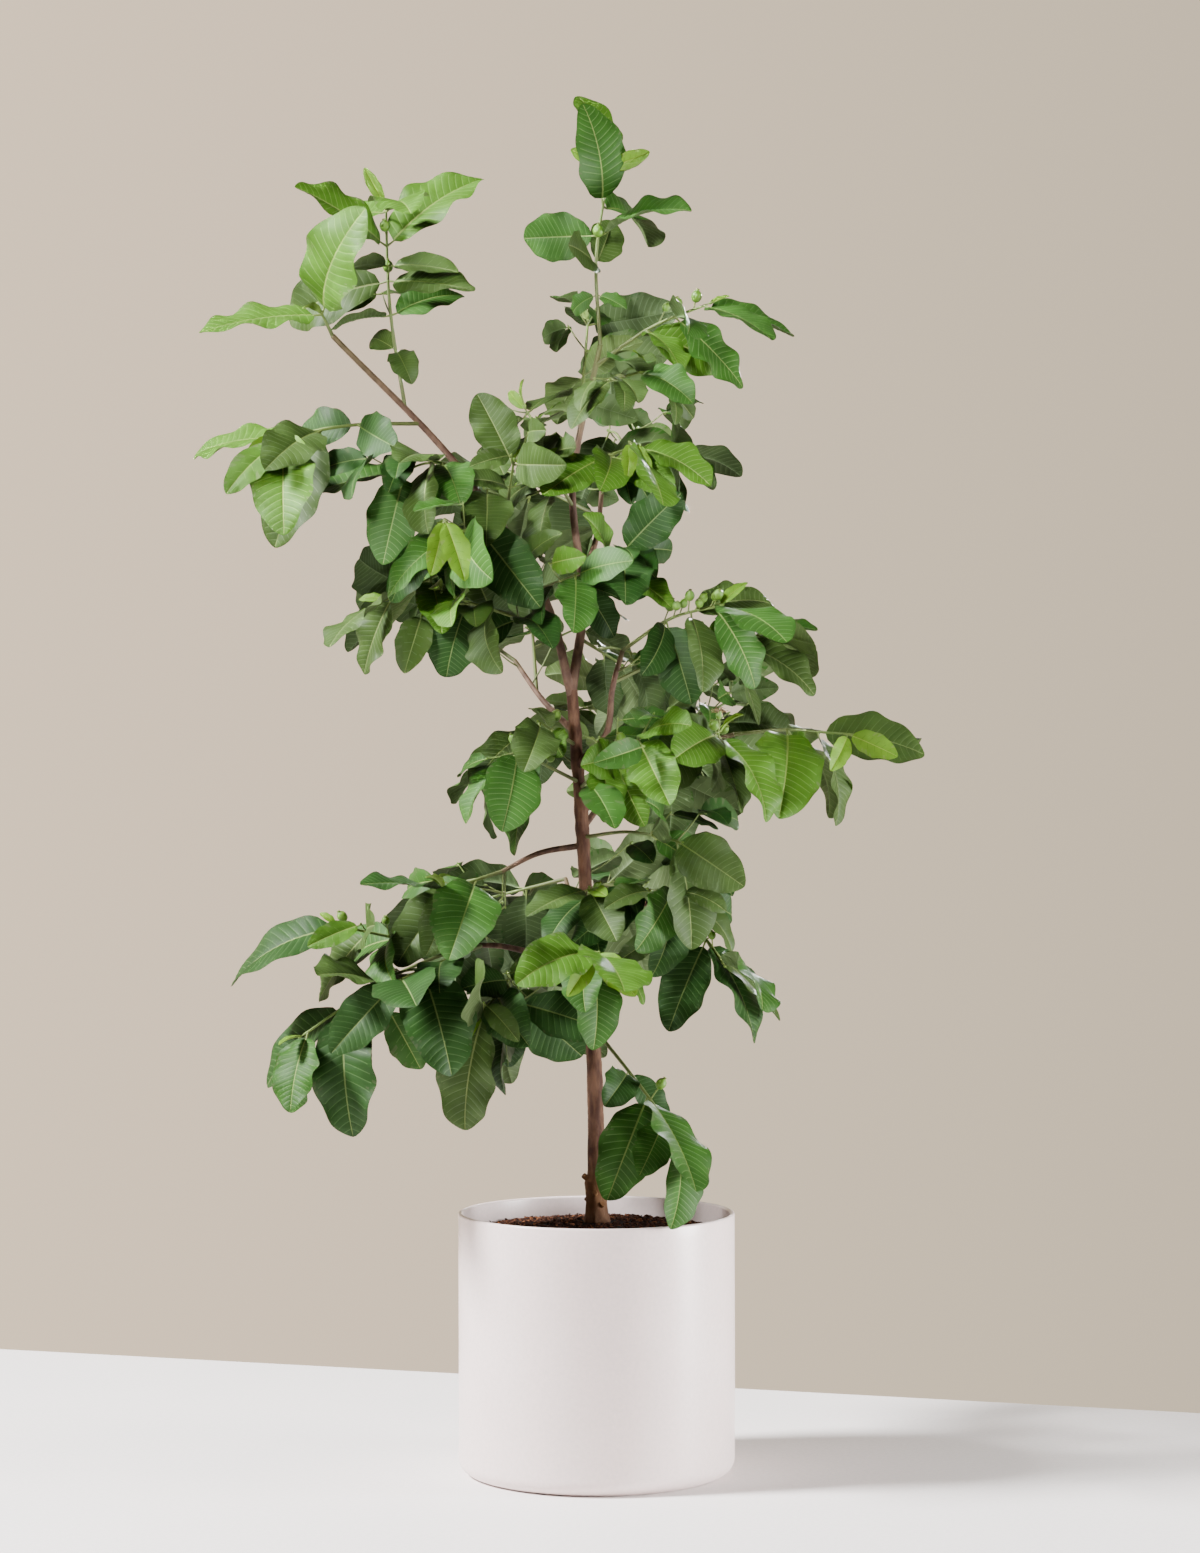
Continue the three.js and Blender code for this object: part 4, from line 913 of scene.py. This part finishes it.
def bladeMesh(leaf):
    plan = bladePlans[leaf["kind"]]
    length, full = leaf["length"], leaf["kind"] == "full"
    rows, across = plan["rows"], plan["across"]
    share = np.abs(across)
    u = rows + blade["skew"] * share ** 1.1 * 4 * rows * (1 - rows)
    oval = np.sin(np.pi * np.clip(u, 0, 1) ** 0.92).clip(0) ** blade["power"]
    shape = dict(leaf, width=leaf["width"] * (blade["plump"] if full else 1.0))
    half = shape["width"] / 2 * oval
    ribHalf = length * 0.0085 * (1 - 0.72 * u) + 0.15
    rib = np.minimum(ribHalf / np.maximum(half, 1e-6), 0.5)
    ragged = np.sin(2 * np.pi * (blade["ragPitch"] * u + leaf["phase"] * 3 + 0.4 * plan["hands"]))
    v = plan["hands"] * (rib + (1 - rib) * share) * (1 + blade["rag"] * share ** 2 * ragged)
    side = np.minimum(np.abs(v), 1.0)
    envelope = (1 - side ** 4) * (0.3 + 0.7 * np.minimum(1, side / 0.25))
    quilt = length * blade["quilt"] * plan["height"] * envelope
    wave = leaf["wave"] * (blade["waveMore"] if full else blade["waveSmall"]) * length
    wave = wave * side ** 2.2 * np.sqrt(np.sin(np.pi * np.clip(u, 0, 1)))
    wave = wave * np.sin(2 * np.pi * (blade["wavePitch"] * u + leaf["phase"] + 0.31 * (v < 0)))
    groove = np.where(side < rib + 1e-6, 0.05, 0.0)
    middle = across.shape[1] // 2
    groove[:, middle] = -0.1
    top = bladePoints(shape, u, v, quilt + wave + groove, 0.0, blade["power"])
    keel = np.zeros_like(u)
    keel[:, middle] = 0.5 + 0.8 * (1 - u[:, middle])
    keel += np.where((plan["height"] == 0) & (side > rib), 0.25, 0.0) * (1 - side)
    depth = blade["thick"] * (0.4 + 0.6 * (1 - side ** 3))
    under = bladePoints(shape, u, v, quilt + wave - depth - keel, 0.0, blade["power"])
    poles = bladePoints(shape, [0.0, 1.0], [0.0, 0.0], [-0.3, -0.1], 0.0)
    return np.concatenate([top.reshape(-1, 3), under[:, 1:-1].reshape(-1, 3), poles])


# how the greens are shared out, and how far a leaf's mass and place push it towards a lighter or a darker
# one: inner and back masses are pushed darker as painted shade, the outer masses lighter, partly younger
# growth and partly painted light
toneShare = {"deep": 0.3, "olive": 0.18, "mid": 0.36, "fresh": 0.16}
toneLean = {"olive": 0.45, "freshLitMass": 0.22, "shadeMass": 0.3, "freshTip": 0.3, "tip": 0.08}
# outer masses: their lighter green is partly younger growth and partly painted light
freshLitMasses = {"left_far", "front_shoot", "top_left_shoot", "right_mid", "top_right"}
freshTips = {"left_far", "right_mid", "top_right", "bud_twig", "low_left_far", "top_shoot"}
oliveMasses = {"left_fan", "left_out", "left_inner", "left_high_twig", "left_high_inner", "leader_left",
               "top_left", "centre_front", "left_upper", "top_front"}
# inner and back masses: their darker green is painted shade
shadeMasses = {"low_right_shoot", "centre_back", "back_low_left", "back_low_right", "low_left_back",
              "low_left_inner", "right_low_inner"}


def toneOf(leaf, dice):
    if leaf.get("tone"):
        return leaf["tone"]
    mass = leaf["mass"]
    if mass in oliveMasses and dice.roll() < toneLean["olive"]:
        return "olive"
    # the mass pushes are partly painted light on the outer masses and painted shade on the inner and back
    # ones
    roll = dice.roll() + (toneLean["freshLitMass"] if mass in freshLitMasses else 0)
    roll -= toneLean["shadeMass"] if mass in shadeMasses else 0
    roll += toneLean["freshTip" if mass in freshTips else "tip"] * (leaf["pair"] + 1 == leaf["of"])
    for tone, share in toneShare.items():
        roll -= share
        if roll < 0:
            return tone
    return "fresh"


dice = Dice(4711)
sprayTone = {}
for leaf in leaves:
    spray = (leaf["mass"], leaf["pair"], leaf["kind"], leaf.get("tone"))
    if spray not in sprayTone:
        sprayTone[spray] = toneOf(leaf, dice)
    leaf["tone"] = sprayTone[spray]

# masses are gathered from the bottom up into pieces of at most this many triangles
pieceLimit = 185000
perLeaf = {kind: len(p["quads"]) * 2 + len(p["tris"]) for kind, p in bladePlans.items()}
order = sorted(massPlan, key=lambda n: massPlan[n]["tip"][2])
groups, load = [[]], 0
for name in order:
    cost = sum(perLeaf[leaf["kind"]] for leaf in leaves if leaf["mass"] == name)
    if load + cost > pieceLimit:
        groups.append([])
        load = 0
    groups[-1].append(name)
    load += cost
for g, names in enumerate(groups):
    points, quads, tris, quadKinds, triKinds, base = [], [], [], [], [], 0
    for leaf in leaves:
        if leaf["mass"] not in names:
            continue
        plan = bladePlans[leaf["kind"]]
        shift = tones.index(leaf["tone"]) * len(leafParts)
        points.append(bladeMesh(leaf))
        quads.append(plan["quads"] + base)
        tris.append(plan["tris"] + base)
        quadKinds.append(plan["quadKinds"] + shift)
        triKinds.append(plan["triKinds"] + shift)
        base += plan["count"]
    mesh = meshOf("leaves_%d" % (g + 1), np.concatenate(points),
                  [np.concatenate(quads), np.concatenate(tris)], leafMaterials, quadKinds + triKinds)
    mesh.set_sharp_from_angle(angle=math.radians(75))
    register(makeObject(mesh.name, mesh), names)


# tubes along lines, as thick as the line says, with a rough skin
tubes, given, result = newGroup(
    "tubes", "GeometryNodeTree",
    [("Geometry", "NodeSocketGeometry", None), ("Sides", "NodeSocketInt", 12),
     ("Step", "NodeSocketFloat", 0.004), ("Relief", "NodeSocketFloat", 0.1),
     ("Grain", "NodeSocketFloat", 200.0), ("Stretch", "NodeSocketVector", (1, 1, 1)),
     ("Material", "NodeSocketMaterial", None)],
    [("Geometry", "NodeSocketGeometry")])
curve = addNode(tubes, "GeometryNodeMeshToCurve")
even = addNode(tubes, "GeometryNodeResampleCurve", mode="LENGTH")
ring = addNode(tubes, "GeometryNodeCurvePrimitiveCircle", {"Radius": 1.0})
thick = addNode(tubes, "GeometryNodeInputNamedAttribute", {"Name": "thick"}, data_type="FLOAT")
tube = addNode(tubes, "GeometryNodeCurveToMesh", {"Fill Caps": True})
where = addNode(tubes, "GeometryNodeInputPosition")
longer = addNode(tubes, "ShaderNodeVectorMath", operation="MULTIPLY")
noise = addNode(tubes, "ShaderNodeTexNoise", {"Detail": 4.0})
centred = addNode(tubes, "ShaderNodeMath", {1: 0.5}, operation="SUBTRACT")
byThick = addNode(tubes, "ShaderNodeMath", operation="MULTIPLY")
amount = addNode(tubes, "ShaderNodeMath", operation="MULTIPLY")
outward = addNode(tubes, "GeometryNodeInputNormal")
push = addNode(tubes, "ShaderNodeVectorMath", operation="SCALE")
moved = addNode(tubes, "GeometryNodeSetPosition")
smooth = addNode(tubes, "GeometryNodeSetShadeSmooth")
real = addNode(tubes, "GeometryNodeRealizeInstances")
dress = addNode(tubes, "GeometryNodeSetMaterial")
join(tubes, (given, "Geometry", curve, "Mesh"), (curve, "Curve", even, "Curve"),
     (given, "Step", even, "Length"), (even, "Curve", tube, "Curve"),
     (given, "Sides", ring, "Resolution"), (ring, "Curve", tube, "Profile Curve"),
     (thick, "Attribute", tube, "Scale"), (where, 0, longer, 0), (given, "Stretch", longer, 1),
     (longer, 0, noise, "Vector"), (given, "Grain", noise, "Scale"), (noise, "Fac", centred, 0),
     (thick, "Attribute", byThick, 0), (given, "Relief", byThick, 1), (centred, 0, amount, 0),
     (byThick, 0, amount, 1), (outward, 0, push, 0), (amount, 0, push, "Scale"),
     (tube, "Mesh", moved, "Geometry"), (push, 0, moved, "Offset"), (moved, "Geometry", smooth, 0),
     (smooth, 0, real, "Geometry"), (real, "Geometry", dress, "Geometry"),
     (given, "Material", dress, "Material"), (dress, "Geometry", result, "Geometry"))


def tubePiece(name, lines, material, sides=12, step=0.004, relief=0.1, grain=200.0,
              stretch=(1, 1, 1), nodes=()):
    # lines is a list of (points in mm, radii in mm, ages)
    mesh = bpy.data.meshes.new(name)
    points = np.concatenate([np.array(l[0]) for l in lines]) * mm
    edges, start = [], 0
    for line in lines:
        edges += [(start + i, start + i + 1) for i in range(len(line[0]) - 1)]
        start += len(line[0])
    mesh.from_pydata(points.tolist(), edges, [])
    for label, values, scale in (("thick", 1, mm), ("age", 2, 1.0)):
        layer = mesh.attributes.new(label, "FLOAT", "POINT")
        layer.data.foreach_set("value", np.concatenate([np.array(l[values], float) for l in lines]) * scale)
    piece = makeObject(name, mesh)
    runTree(piece, tubes, {"Sides": sides, "Step": step, "Relief": relief, "Grain": grain,
                           "Stretch": stretch, "Material": material})
    register(piece, nodes)


trunk = {"radius": (9.9, 6.2), "flare": 13.6, "stock": 11.8, "collar": 14.4, "collarHeight": 315,
         "rise": 577, "steps": 300,
         # cut stubs on the collar: angle, how far up, length and radius
         "stubs": [(200, 317, 15.5, 3.2), (335, 315, 16.5, 4.2), (95, 312, 16, 3.6), (262, 300, 14, 3.0),
                   (300, 288, 13.5, 3.4), (150, 292, 13.5, 3.2)]}


def trunkRadius(share, height):
    low, high = trunk["radius"]
    flare = (trunk["flare"] - low) * math.exp(-(height - trunkFoot) / 7)
    above = height - trunk["collarHeight"]
    graft = (trunk["stock"] - low) / (1 + math.exp((above + 2) / 2.5))
    graft += (trunk["collar"] - trunk["stock"]) * math.exp(-((above / (7 if above < 0 else 4)) ** 2))
    knots = sum(1.0 * math.exp(-(((share - limbPlan[n]["at"]) / 0.012) ** 2))
                for n in limbPlan if limbPlan[n].get("from") == "trunk" and limbPlan[n]["at"] < 0.97)
    return low + (high - low) * share ** 0.75 + flare + graft + knots


def limbLine(name, steps, radiusAt, ageAt):
    line = limbs[name]["line"]
    shares = [i / steps for i in range(steps + 1)]
    points = [line.at(s) for s in shares]
    return points, [radiusAt(s, p) for s, p in zip(shares, points)], [ageAt(s) for s in shares]


def stubLine(angle, height, length, radius):
    middle = np.array([0.0, 0.0, height])
    out = np.array([math.cos(math.radians(angle)), math.sin(math.radians(angle)), 0.0])
    points = [middle + out * length * k / 6 + up * (0.055 * length * (k / 6) ** 2 * k) for k in range(2, 7)]
    return points, [radius * 1.5, radius * 1.3, radius * 1.08, radius, radius * 0.94], [1.0] * 5


# how far the bark takes its young colour: round the graft, and towards a bough's tip
def trunkAge(share):
    above = share * trunk["rise"] + trunkFoot - trunk["collarHeight"] + 12
    return 0.85 * math.exp(-((above / 22) ** 2))


def leaderAge(share):
    return max(0.0, (share - 0.75) * 3.2)


def boughAge(share):
    return max(0.0, share - 0.8) * 1.5


trunkLine = limbLine("trunk", trunk["steps"], lambda s, p: trunkRadius(s, p[2]), trunkAge)
tubePiece("trunk_bark", [trunkLine] + [stubLine(*stub) for stub in trunk["stubs"]], bark, sides=48,
          step=0.0018, relief=0.3, grain=150.0, stretch=(1, 1, 0.4), nodes=["trunk"])
boughNames = [n for n in limbPlan if n != "trunk"]
boughLines = []
for name in boughNames:
    low, high = limbPlan[name]["radius"]
    age = leaderAge if name == "bough_leader" else boughAge
    boughLines.append(limbLine(name, 90, lambda s, p: low + (high - low) * s, age))
tubePiece("bough_bark", boughLines, youngBark, sides=20, step=0.0026, relief=0.2, grain=220.0,
          nodes=boughNames)


def twigLine(line, radius, steps, youngest):
    shares = [i / steps for i in range(steps + 1)]
    points = [line.at(s) for s in shares] + [line.at(1) + line.along(1) * radius[1]]
    radii = [radius[0] + (radius[1] - radius[0]) * s for s in shares] + [radius[1] * 0.45]
    return points, radii, [youngest * s for s in shares] + [youngest]


twigLines = [twigLine(t["line"], t["radius"], 30, 1.0) for name in massPlan for t in shoots[name]]
twigLines += [twigLine(spur, spurRadius, 8, 1.0) for spur in spurs]
tubePiece("green_twigs", twigLines, greenBark, sides=9, step=0.004, relief=0.16, grain=300.0,
          nodes=list(massPlan))
stalkLines = []
for leaf in leaves:
    scale = min(1.0, leaf["length"] / 80)
    inner = bladePoints(leaf, [0.0, 0.06], [0.0, 0.0], [-0.5, -0.8], 0.0)
    points = [leaf["root"], leaf["root"] * 0.5 + leaf["foot"] * 0.5 - up * 0.3, inner[0], inner[1]]
    radii = [1.35 * scale + 0.2, 1.0 * scale + 0.15, 0.9 * scale + 0.1, 0.45 * scale]
    stalkLines.append((points, radii, [0, 0.3, 0.6, 1]))
tubePiece("leaf_stalks", stalkLines, stalkSkin, sides=7, step=0.003, relief=0.05)


# one small model dealt out to many places; it brings its own materials
dealing, given, result = newGroup(
    "dealing", "GeometryNodeTree",
    [("Geometry", "NodeSocketGeometry", None), ("Kind", "NodeSocketObject", None)],
    [("Geometry", "NodeSocketGeometry")])
spots = addNode(dealing, "GeometryNodeMeshToPoints")
aim = addNode(dealing, "GeometryNodeInputNamedAttribute", {"Name": "aim"}, data_type="FLOAT_VECTOR")
size = addNode(dealing, "GeometryNodeInputNamedAttribute", {"Name": "size"}, data_type="FLOAT")
toward = addNode(dealing, "FunctionNodeAlignRotationToVector", axis="Z")
model = addNode(dealing, "GeometryNodeObjectInfo")
dealt = addNode(dealing, "GeometryNodeInstanceOnPoints")
real = addNode(dealing, "GeometryNodeRealizeInstances")
join(dealing, (given, "Geometry", spots, "Mesh"), (spots, "Points", dealt, "Points"),
     (given, "Kind", model, "Object"), (model, "Geometry", dealt, "Instance"),
     (aim, "Attribute", toward, "Vector"), (toward, "Rotation", dealt, "Rotation"),
     (size, "Attribute", dealt, "Scale"), (dealt, "Instances", real, "Geometry"),
     (real, "Geometry", result, "Geometry"))


def dealOut(name, kind, places):
    # places is a list of (point in mm, the way it points, its length in mm)
    mesh = bpy.data.meshes.new(name)
    mesh.from_pydata([tuple(p[0] * mm) for p in places], [], [])
    layer = mesh.attributes.new("aim", "FLOAT_VECTOR", "POINT")
    layer.data.foreach_set("vector", np.concatenate([p[1] for p in places]))
    layer = mesh.attributes.new("size", "FLOAT", "POINT")
    layer.data.foreach_set("value", np.array([p[2] * mm for p in places]))
    piece = makeObject(name, mesh)
    runTree(piece, dealing, {"Kind": kind})
    bpy.data.objects.remove(kind)
    register(piece)


def turnedShape(name, profile, sides, kinds, materials):
    # a closed body of revolution about a unit high; profile is a list of (radius, height) from pole to pole
    points = [(0.0, 0.0, profile[0][1])]
    for radius, height in profile[1:-1]:
        points += ringPoints(radius, height, sides)
    points.append((0.0, 0.0, profile[-1][1]))
    rings = len(profile) - 2
    ends = np.array([kinds[0]] * sides + [kinds[-1]] * sides)
    mesh = meshOf(name, np.array(points) / mm, ringFaces(rings, sides), materials,
                  [np.repeat(kinds[:rings - 1], sides), ends])
    return makeObject(name, mesh)


budShape = turnedShape("bud_model", [
    (0, 0), (0.16, 0.02), (0.26, 0.22), (0.3, 0.45), (0.22, 0.72), (0.08, 0.94), (0, 1)],
    10, [0] * 6, [budSkin])
dealOut("buds", budShape, budPlaces)

fruit = {"stalk": (7, 16), "length": (11, 15), "first": 0.4, "tries": 8}
fruitMasses = {"bud_twig": 8, "top_shoot": 2, "top_right": 3, "centre_low_right": 2, "right_inner": 2,
               "left_upper": 1, "low_left_upper": 2, "right_low_tip": 3, "trunk_front": 1,
               "top_left_shoot": 2, "low_right_shoot": 1, "left_centre": 2, "right_upper": 3}
fruitPlaces, fruitStalks = [], []
for name, count in fruitMasses.items():
    plan = massPlan[name]
    dice = Dice(plan["seed"] + 900)
    line = shoots[name][0]["line"]
    for k in range(count):
        for attempt in range(fruit["tries"]):
            place = k + dice.between(0.2, 0.9)
            share = min(1.0, fruit["first"] + (1 - fruit["first"]) * place / count)
            joint, along = line.at(share), line.along(share)
            side = np.cross(along, up) * (1 if k % 2 else -1) * dice.between(0.1, 0.9)
            way = unit(side + along * 0.3 + up * dice.between(0.5, 1.4) + np.array([0, -0.5, 0]))
            stalk, length = dice.between(*fruit["stalk"]), dice.between(*fruit["length"])
            end = joint + way * stalk
            taken = [end + way * reach for reach in (3, 7, 11)]
            if fits(name, taken):
                break
        crowd |= cellsOf(taken)
        fruitPlaces.append((end, way, length))
        fruitStalks.append(([joint, joint * 0.5 + end * 0.5, end, end + way], [0.9, 0.75, 0.85, 0.9],
                            [0, 0.3, 0.6, 1]))
fruitShape = turnedShape("fruit_model", [
    (0, 0), (0.12, 0.01), (0.28, 0.12), (0.38, 0.32), (0.4, 0.52), (0.33, 0.74), (0.18, 0.88), (0.1, 0.92),
    (0.12, 0.97), (0.14, 1.03), (0.09, 1.0), (0, 0.95)], 14, [0] * 7 + [1] * 4, [fruitSkin, calyxSkin])
dealOut("fruitlets", fruitShape, fruitPlaces)

flower = {"mass": "right_inner", "stamens": 46, "length": (6, 10), "stalk": (1.0, -2.0, 20.0), "cup": 9.0}
dice = Dice(77)
twig = shoots[flower["mass"]][0]
root = twig["line"].at(0.98)
head = root + np.array(flower["stalk"])
fruitStalks.append(([root, (root + head) / 2 + np.array([1.5, 0, 0]), head], [0.9, 0.8, 1.0], [0, 0.5, 1]))
tubePiece("fruit_stalks", fruitStalks, stalkSkin, sides=8, step=0.0015, relief=0.05)
stamens = []
for k in range(flower["stamens"]):
    angle, lean = dice.between(0, 2 * math.pi), dice.between(0.3, 1.3)
    out = np.array([math.cos(angle) * math.sin(lean), math.sin(angle) * math.sin(lean), math.cos(lean)])
    length = dice.between(*flower["length"])
    curl = np.cross(out, up) * dice.between(-3, 3)
    start = head + out * 2.2 + up * 2
    middle = start + out * length * 0.6 + curl * 0.6
    end = middle + out * length * 0.2 + curl - up * dice.between(0.5, 3.5)
    line = Line([start, middle, end])
    stamens.append(([line.at(i / 8) for i in range(9)], [0.28] * 7 + [0.42, 0.3], [0] * 9))
tubePiece("spent_flower", stamens, dryPetal, sides=5, step=0.0012, relief=0.0)
cup = turnedShape("cup_model", [
    (0, 0), (0.2, 0.02), (0.36, 0.25), (0.38, 0.55), (0.3, 0.8), (0.34, 0.95), (0.26, 0.92), (0, 0.8)],
    16, [0] * 4 + [1] * 3, [fruitSkin, calyxSkin])
dealOut("flower_cup", cup, [(head - up * 4, up.copy(), flower["cup"])])


def arc(middle, radius, start, end, steps):
    turns = [math.radians(start + (end - start) * k / steps) for k in range(steps + 1)]
    return [(middle[0] + radius * math.cos(t), middle[1] + radius * math.sin(t)) for t in turns]


pot = {"radius": 150.0, "height": 282.0, "wall": 5.0, "corner": 17.0, "floor": 6.0, "lip": 2.2, "sides": 192,
       "wobble": 0.25}
inside = pot["radius"] - pot["wall"]
low = pot["radius"] - pot["corner"]
sideHeights = [pot["corner"] + (pot["height"] - pot["lip"] - pot["corner"]) * k / 20 for k in range(1, 20)]
profile = ([(0, 0), (60, 0), (low - 6, 0)] + arc((low, pot["corner"]), pot["corner"], -90, 0, 10)
           + [(pot["radius"], z) for z in sideHeights]
           + arc((pot["radius"] - pot["lip"], pot["height"] - pot["lip"]), pot["lip"], 0, 90, 6)
           + arc((inside + pot["lip"], pot["height"] - pot["lip"]), pot["lip"], 90, 180, 6)
           + [(inside, z) for z in reversed(sideHeights)]
           + arc((low, pot["corner"] + 1), pot["corner"] - pot["wall"], 0, -90, 8)
           + [(60, pot["floor"]), (0, pot["floor"])])
around = np.arange(pot["sides"]) * 2 * math.pi / pot["sides"]
points = [[[0, 0, profile[0][1]]]]
for radius, height in profile[1:-1]:
    # the wall is out of round by a hair
    r = radius + pot["wobble"] * np.sin(3 * around + height / 60) * (radius > 100)
    points.append(np.stack([r * np.cos(around), r * np.sin(around), np.full(pot["sides"], height)], axis=-1))
points.append([[0, 0, profile[-1][1]]])
faces = ringFaces(len(profile) - 2, pot["sides"])
mesh = meshOf("pot_shell", np.concatenate(points), faces, [glaze], [np.zeros(len(f)) for f in faces])
register(makeObject("pot_shell", mesh), ["pot"])

soil = {"edge": 259.0, "top": 271.0, "rings": 54, "sides": 120, "chips": 1350, "light": 900, "crumbs": 2100,
        "gap": 0.4, "shoulder": 25.0, "underside": 6.4}


def soilHeight(x, y):
    r = math.hypot(x, y)
    share = min(1.0, r / inside)
    return soil["edge"] + (soil["top"] - soil["edge"]) * (1 - share ** 1.4)


bumps = np.random.default_rng(12).normal(size=(60, 4))


def lift(x, y):
    return sum(0.35 * math.sin(b[0] * 0.06 * x + b[1] * 0.06 * y + b[2] * 3) for b in bumps[:24]) * 0.8


points = [(0, 0, soil["top"])]
for r in range(1, soil["rings"] + 1):
    for x, y, z in ringPoints((inside - soil["gap"]) * r / soil["rings"], 0.0, soil["sides"]):
        points.append((x, y, soilHeight(x, y) + lift(x, y) * (r < soil["rings"])))
points += ringPoints(inside - soil["gap"], soil["shoulder"], soil["sides"])
points += ringPoints(low - 4, soil["underside"], soil["sides"])
points.append((0, 0, soil["underside"]))
quads, tris = ringFaces(soil["rings"] + 2, soil["sides"])
# its rings run from the top down, so its faces are turned over
faces = [quads[:, [0, 3, 2, 1]], tris[:, [0, 2, 1]]]
mesh = meshOf("soil_mound", points, faces, [earth], [np.zeros(len(f)) for f in faces])
register(makeObject("soil_mound", mesh), ["soil"])


def chipModel(name, material, seed, rounds=1):
    shape = bmesh.new()
    bmesh.ops.create_icosphere(shape, subdivisions=rounds, radius=0.5)
    dice = Dice(seed)
    for vertex in shape.verts:
        vertex.co *= dice.between(0.75, 1.15)
        vertex.co.y *= 0.5
        vertex.co.z *= 0.3
    mesh = bpy.data.meshes.new(name)
    shape.to_mesh(mesh)
    shape.free()
    mesh.materials.append(material)
    return makeObject(name, mesh)


def scatter(name, model, count, sizes, seed):
    dice = Dice(seed)
    places = []
    while len(places) < count:
        x, y = dice.between(-inside, inside), dice.between(-inside, inside)
        r = math.hypot(x, y)
        size = dice.between(*sizes)
        if r > inside - 1 - size * 0.55 or r < 15:
            continue
        way = unit([dice.between(-1, 1), dice.between(-1, 1), dice.between(0.2, 1.6)])
        places.append((np.array([x, y, soilHeight(x, y) + lift(x, y) + size * 0.05]), way, size))
    dealOut(name, model, places)


scatter("bark_chips", chipModel("chip_a", chipDark, 5), soil["chips"], (4, 10), 31)
scatter("light_chips", chipModel("chip_b", chipLight, 9), soil["light"], (2.5, 7), 57)
scatter("crumbs", chipModel("chip_c", earth, 3), soil["crumbs"], (1.5, 4), 83)


stageLook = {"floor": (237, 231, 229), "wallLeft": (1.28, 1.01, 0.735), "wallRight": (0.83, 0.69, 0.51),
             "roomBehind": 0.2, "ceiling": 0.25}
# the floor's back edge, which slants past these two points, and how far the floor reaches
stageEdge = {"left": (-791, 821), "right": (711, 351), "reach": 1700, "front": -1300, "depth": 30}


def edgeAt(x):
    (x0, y0), (x1, y1) = stageEdge["left"], stageEdge["right"]
    return y0 + (x - x0) * (y1 - y0) / (x1 - x0)


reach, front = stageEdge["reach"], stageEdge["front"]
outline = [(-reach, edgeAt(-reach)), (reach, edgeAt(reach)), (reach, front), (-reach, front)]
points = [(x * mm, y * mm, z * mm) for z in (0, -stageEdge["depth"]) for x, y in outline]
rim = [(k, (k + 1) % 4, (k + 1) % 4 + 4, k + 4) for k in range(4)]
floorMesh = bpy.data.meshes.new("floor")
floorMesh.from_pydata(points, [], [(3, 2, 1, 0), (4, 5, 6, 7)] + rim)
floorMesh.materials.append(paint("floor_paint", stageLook["floor"], (230, 226, 225), scale=3, fine=200,
                                 bump=0.02, rough=0.7, specular=0.2, plain=True))
floor = makeObject("floor", floorMesh)

world = bpy.data.worlds.new("room")
bpy.context.scene.world = world
world.use_nodes = True
airTree = world.node_tree
air = airTree.nodes["Background"]
direction = addNode(airTree, "ShaderNodeTexCoord")
parts = addNode(airTree, "ShaderNodeSeparateXYZ")
ramp = addNode(airTree, "ShaderNodeMapRange", {"From Min": -0.2, "From Max": 0.2})
# the room is dimmer in front of the wall, and under a dark ceiling
depth = addNode(airTree, "ShaderNodeMapRange", {
    "From Min": -0.1, "From Max": 0.6, "To Min": stageLook["roomBehind"], "To Max": 1.0})
height = addNode(airTree, "ShaderNodeMapRange", {
    "From Min": 0.3, "From Max": 0.5, "To Min": 1.0, "To Max": stageLook["ceiling"]})
strength = addNode(airTree, "ShaderNodeMath", operation="MULTIPLY")
hue = addNode(airTree, "ShaderNodeMix", {
    6: stageLook["wallLeft"] + (1.0,), 7: stageLook["wallRight"] + (1.0,)}, data_type="RGBA")
join(airTree, (direction, "Generated", parts, 0), (parts, "X", ramp, "Value"), (ramp, 0, hue, 0),
     (hue, 2, air, "Color"), (parts, "Y", depth, "Value"), (parts, "Z", height, "Value"),
     (depth, 0, strength, 0), (height, 0, strength, 1), (strength, 0, air, "Strength"))


def lamp(name, place, target, size, power, spread=180):
    light = bpy.data.lights.new(name, "AREA")
    light.shape, light.size = "DISK", size
    light.energy, light.spread = power, math.radians(spread)
    made = makeObject(name, light)
    made.location = place
    made.rotation_euler = (Vector(target) - Vector(place)).to_track_quat("-Z", "Y").to_euler()


lamp("key", (-3.4, -0.8, 3.5), (0, 0, 0.6), 0.9, 1100)
lamp("fill", (-1.3, -4.2, 2.1), (0, 0, 1.1), 0.6, 6, 18)
lamp("back", (1.3, 4.2, 2.1), (0, 0, 1.1), 0.6, 6, 18)
lamp("right", (2.5, -0.5, 0.45), (0, 0, 0.4), 1.0, 190)

cameraPlan = {"place": (0.0036, -3.85, 0.755), "lens": 82.1, "sensor": 36}
view = bpy.data.cameras.new("camera")
view.lens, view.sensor_width = cameraPlan["lens"], cameraPlan["sensor"]
camera = makeObject("camera", view)
camera.location = cameraPlan["place"]
camera.rotation_euler = (math.pi / 2, 0, 0)
bpy.context.scene.camera = camera
